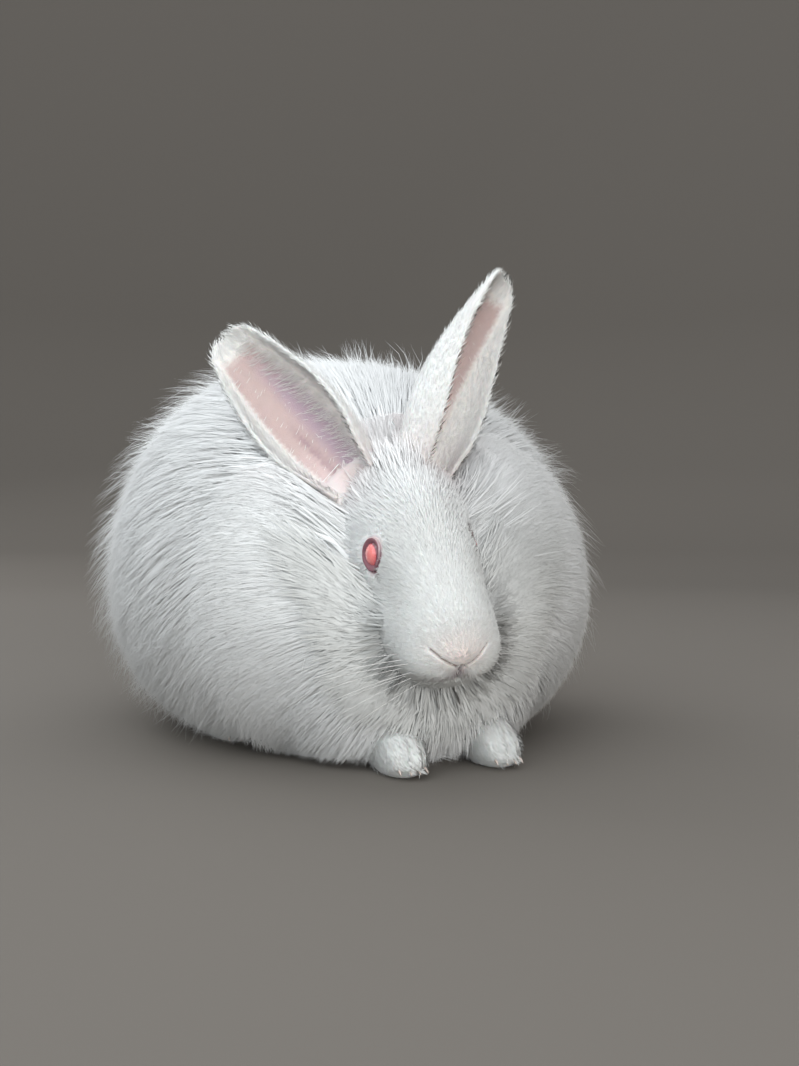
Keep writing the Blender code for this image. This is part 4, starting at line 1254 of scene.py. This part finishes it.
SKIN = painted(
    "skin", 0.62, 240.0, 0.10, bump=0.35, bump_scale=1500.0,
    Specular_IOR_Level=0.25, Subsurface_Weight=0.12, Subsurface_Scale=0.002,
)
COAT = painted(
    "wool", 0.95, 60.0, 0.03, Specular_IOR_Level=0.10, Sheen_Weight=0.15, Sheen_Roughness=0.6,
)
FUR = painted(
    "face_fur", 0.85, 160.0, 0.06, Specular_IOR_Level=0.18, Sheen_Weight=0.15, Sheen_Roughness=0.6,
)


# Eyes


# The coral middle is a painted glow of light thrown back out of the pupil; the dark rings round it are the
# iris, partly darkened as painted shade.
# share of the eye's half turn from its front, and the colour there
EYE_GLOW_RINGS = (
    (0.00, (0.90, 0.20, 0.21)),
    (0.10, (0.95, 0.27, 0.25)),
    (0.185, (0.90, 0.22, 0.22)),
    (0.200, (0.80, 0.16, 0.18)),
    (0.212, (0.20, 0.035, 0.055)),
    (0.225, (0.24, 0.06, 0.08)),
    (0.245, (0.13, 0.05, 0.06)),
    (0.300, (0.20, 0.10, 0.12)),
    (1.00, (0.20, 0.10, 0.12)),
)
CORNEA_BULGE = 0.0004
# The way the iris faces, along and up the opening and out of it
GAZE = np.array([0.05, -0.20, 1.0])


def make_eye(side, side_name):
    """An eyeball whose cornea bulges a little, with the pupil's painted glow and its iris painted in rings.
    """
    outward, along, upward = eye_frame(side)
    bm, ways = unit_sphere(64, 96)
    turn = np.stack([along, upward, outward])
    off_axis = np.arccos(np.clip(ways @ unit(GAZE), -1, 1)) / math.pi
    radius = EYE_RADIUS - 0.0004 + CORNEA_BULGE * fade(off_axis, 0.24, 0.10)
    places = eye_centre(side) + (ways @ turn) * radius[:, None] + SHIFT
    mesh = mesh_from(bm, f"eyeball_{side_name}", places)
    mesh.shade_smooth()
    table = np.array([row[1] for row in EYE_GLOW_RINGS])
    stops = [row[0] for row in EYE_GLOW_RINGS]
    colours = np.stack([np.interp(off_axis, stops, table[:, k]) for k in range(3)], axis=1)
    around = np.arctan2(ways[:, 1], ways[:, 0])
    spokes = np.sin(around * 23) * np.sin(around * 9 + 1)
    colours *= (1 + 0.10 * spokes * fade(off_axis, 0.10, 0.17))[:, None]
    paint(mesh, colours)
    return linked(f"eyeball_{side_name}", mesh)


# Whiskers and claws


def bristles(name, paths, widths, flatness, colours, shades, patches):
    """Strands with one width along each, shaded by their own round shape."""
    widths = np.tile(widths, (len(paths), 1))
    normals = np.tile([0.0, 0.0, 1.0], (len(paths), 1))
    return strands(name, paths + SHIFT, widths, flatness, normals, colours, shades, patches, 0.0)


def whiskers(side, side_name):
    """Tapered hairs in rows on the lip, sweeping out, back and a little down."""
    rng = np.random.default_rng(51 + side)
    t = np.linspace(0, 1, 9)[:, None]
    paths = []
    for row in range(4):
        for k in range(5):
            # two draws, so that those after them stay the same
            behind = 0.009 + 0.0035 * k + rng.uniform(-0.0008, 0.0008, 2)[0]
            way_y = 2 * behind / HEAD_LENGTH - 1
            ring = math.sqrt(1 - way_y**2)
            angle = -0.15 - 0.22 * row
            way = np.array([[side * ring * math.cos(angle), way_y, ring * math.sin(angle)]])
            start = to_head(head_surface(way, 0.0006))[0]
            length = rng.uniform(0.030, 0.052)
            down = -0.20 - 0.14 * row + rng.uniform(-0.1, 0.1)
            out = unit(np.array([side * (1.0 - 0.08 * k), 0.10 + 0.13 * k, down]))
            droop = np.array([0.0, 0.004, -0.010]) * rng.uniform(0.4, 1.3)
            paths.append(from_head(start + out * length * t + droop * t**2))
    paths = np.array(paths)
    # Most whiskers on the left side are painted dark and most on the right light: painted shade, as they
    # are the same hairs on both sides
    shaded_whisker = rng.random(len(paths)) < (0.75 if side > 0 else 0.2)
    colours = np.where(shaded_whisker, 0.22, 0.80)[:, None] * np.array([[1.0, 0.96, 0.94]])
    patches = rng.random((len(paths), 2))
    name, widths = f"whiskers_{side_name}", 0.00012 * np.linspace(1.0, 0.3, 9)
    return bristles(name, paths, widths, 1.0, colours, np.linspace(1, 1.15, 9), patches)


def claws(leg, side, side_name):
    """Four short curved claws on each foot, half hidden in its fur."""
    toe, (_, width, height) = FEET[leg]
    t = np.linspace(0, 1, 6)[:, None]
    paths = []
    for k in range(TOE_COUNT):
        across = (k + 0.5) / TOE_COUNT * 2 - 1
        x, y = side * toe[0] + across * width * 0.36, toe[1] + 0.0035 + 0.003 * across**2
        start = np.array([x, y, height * 0.22])
        forward = np.array([across * 0.0004, -0.0034, 0.0])
        paths.append(start + forward * t + np.array([0.0, 0.0, -0.0018]) * t**2)
    widths = 0.00085 * np.array([1.0, 0.95, 0.82, 0.62, 0.36, 0.0])
    colours = np.tile([0.72, 0.60, 0.54], (TOE_COUNT, 1))
    patches = np.stack([np.linspace(0.1, 0.9, TOE_COUNT), np.full(TOE_COUNT, 0.5)], axis=1)
    name = f"claws_{leg}_{side_name}"
    return bristles(name, np.array(paths), widths, 1.1, colours, np.linspace(0.9, 1.1, 6), patches)


def dress(thing, look):
    thing.data.materials.clear()
    thing.data.materials.append(look)
    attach(thing, "root")
    return thing


# The rabbit

skin, labels, lids = make_skin()
points = points_of(skin.data)
paint(skin.data, markings(points, labels, 1.0))

# number of strands, pieces, half width, reach as a share of the outline, gathering into locks,
# wispiness, flatness, places and widths and shades along a strand
WOOL_LAYERS = {
    "torso": (
        (8000, 1, 0.0018, (0.936, 0.946), (0.0, 0.1), 0.0, 0.12, SHORT_STRAND),
        (18000, 1, 0.0006, (0.948, 0.958), (0.0, 0.1), 0.0, 0.20, SHORT_STRAND),
        (33000, 2, 0.00024, (0.957, 0.980), (0.0, 0.2), 0.12, 0.30, SHORT_STRAND),
        (8000, 1, 0.00014, (0.98, 1.065), (0.2, 0.7), 1.0, 0.6, LONG_STRAND),
    ),
    "neck": (
        (4200, 1, 0.0012, (0.922, 0.938), (0.0, 0.1), 0.0, 0.12, SHORT_STRAND),
        (18500, 1, 0.00036, (0.944, 0.966), (0.0, 0.1), 0.06, 0.25, SHORT_STRAND),
        (2600, 1, 0.00013, (0.94, 1.04), (0.2, 0.7), 1.0, 0.6, LONG_STRAND),
    ),
    "tail": (
        (1600, 1, 0.0010, (0.91, 0.935), (0.0, 0.1), 0.0, 0.12, SHORT_STRAND),
        (5000, 1, 0.00036, (0.94, 0.975), (0.0, 0.1), 0.05, 0.25, SHORT_STRAND),
    ),
}
for coat_number, (name, layers) in enumerate(WOOL_LAYERS.items()):
    for number, layer in enumerate(layers):
        for piece in wool(skin, labels, name, layer, 100 * (coat_number + 1) + number):
            dress(piece, COAT)

for piece in (0, 1):
    dress(head_fur(skin, labels, lids, piece), FUR)
for count, width in CHEEK_LAYERS:
    dress(cheek_wool(skin, labels, lids, count, width), FUR)
for side, side_name in SIDES:
    dress(ear_fur(skin, labels, side, side_name), FUR)
for number, (leg, count) in enumerate(FOOT_STRANDS.items()):
    dress(foot_fur(skin, labels, leg, count, 41 + number), FUR)

skin.data.transform(Matrix.Translation(Vector(SHIFT)))
dress(skin, SKIN)
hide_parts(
    "head", "neck", "torso", "tail", "ear_left", "ear_right",
    "foreleg_left", "foreleg_right", "hindleg_left", "hindleg_right",
)

EYE = painted("eye", 0.06, 300.0, 0.06, Specular_IOR_Level=0.5, Coat_Weight=1.0, Coat_Roughness=0.02)
WHISKER = painted("whisker", 0.45, 200.0, 0.05, Specular_IOR_Level=0.4)
CLAW = painted("claw", 0.35, 400.0, 0.12, Specular_IOR_Level=0.5)
for side, side_name in SIDES:
    eye = dress(make_eye(side, side_name), EYE)
    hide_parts(f"eye_{side_name}")
    dress(whiskers(side, side_name), WHISKER)
    for leg in ("foreleg", "hindleg"):
        dress(claws(leg, side, side_name), CLAW)


# Floor, light and camera


GROUND_BROWN = (0.16, 0.145, 0.13, 1.0)
# radius and height of the rings of the floor and its wall
STUDIO_RINGS = ((1.6, 0.0), (2.2, 0.06), (2.6, 0.30), (2.8, 0.80), (2.85, 2.05))


def make_studio():
    """A floor that rises into a low wall all round, so that every view has the same ground behind it."""
    around = 64
    angles = np.linspace(0, 2 * math.pi, around, endpoint=False)
    points = [(r * math.cos(a), r * math.sin(a), z) for r, z in STUDIO_RINGS for a in angles]
    middle = len(points)
    faces = [(middle, k, (k + 1) % around) for k in range(around)]
    for ring in range(len(STUDIO_RINGS) - 1):
        low, high = ring * around, (ring + 1) * around
        for k in range(around):
            n = (k + 1) % around
            faces.append((low + k, high + k, high + n, low + n))
    studio = object_from("studio", np.array(points + [(0.0, 0.0, 0.0)]), faces)
    studio.data.shade_smooth()
    made, _, shader = principled("studio", 0.85, Specular_IOR_Level=0.1)
    shader.inputs["Base Color"].default_value = GROUND_BROWN
    studio.data.materials.append(made)


BODY_MIDDLE = Vector((0.0, 0.0, 0.10))
# name, place, diameter, watts, colour
LIGHTS = (
    ("key", (-1.30, -1.05, 0.85), 3.2, 36.0, (0.89, 0.965, 1.0)),
    ("front", (-0.1, -1.6, 0.22), 1.2, 16.0, (1.0, 0.99, 0.96)),
    ("back", (-0.7, 1.6, 1.2), 1.6, 12.0, (0.95, 0.98, 1.0)),
)
SKY = (1.08, 1.115, 1.14, 1.0)


def area_light(name, place, size, power, colour):
    """A round light that faces the body."""
    light = bpy.data.lights.new(name, "AREA")
    light.shape = "DISK"
    light.size = size
    light.energy = power
    light.color = colour
    made = linked(name, light)
    made.location = place
    made.rotation_mode = "QUATERNION"
    made.rotation_quaternion = (BODY_MIDDLE - Vector(place)).to_track_quat("-Z", "Y")


make_studio()
for light in LIGHTS:
    area_light(*light)
world = bpy.data.worlds.new("studio")
bpy.context.scene.world = world
world.use_nodes = True
world.node_tree.nodes["Background"].inputs["Color"].default_value = SKY

# The camera stands low in front of the rabbit's right shoulder. Lengths in pixels of the picture
IMAGE_HEIGHT = 1066
FOCAL_PIXELS = 1000.0
CAMERA_PLACE = Vector((-0.208, -0.523, 0.108))
CAMERA_HEADING = math.radians(24.2)
camera = linked("camera", bpy.data.cameras.new("camera"))
camera.location = CAMERA_PLACE + Vector(SHIFT)
camera.rotation_euler = (math.radians(90), 0.0, -CAMERA_HEADING)
camera.data.sensor_width = 36.0
camera.data.lens = FOCAL_PIXELS / IMAGE_HEIGHT * camera.data.sensor_width
camera.data.clip_start = 0.01
bpy.context.scene.camera = camera
bpy.context.scene.view_settings.view_transform = "Standard"
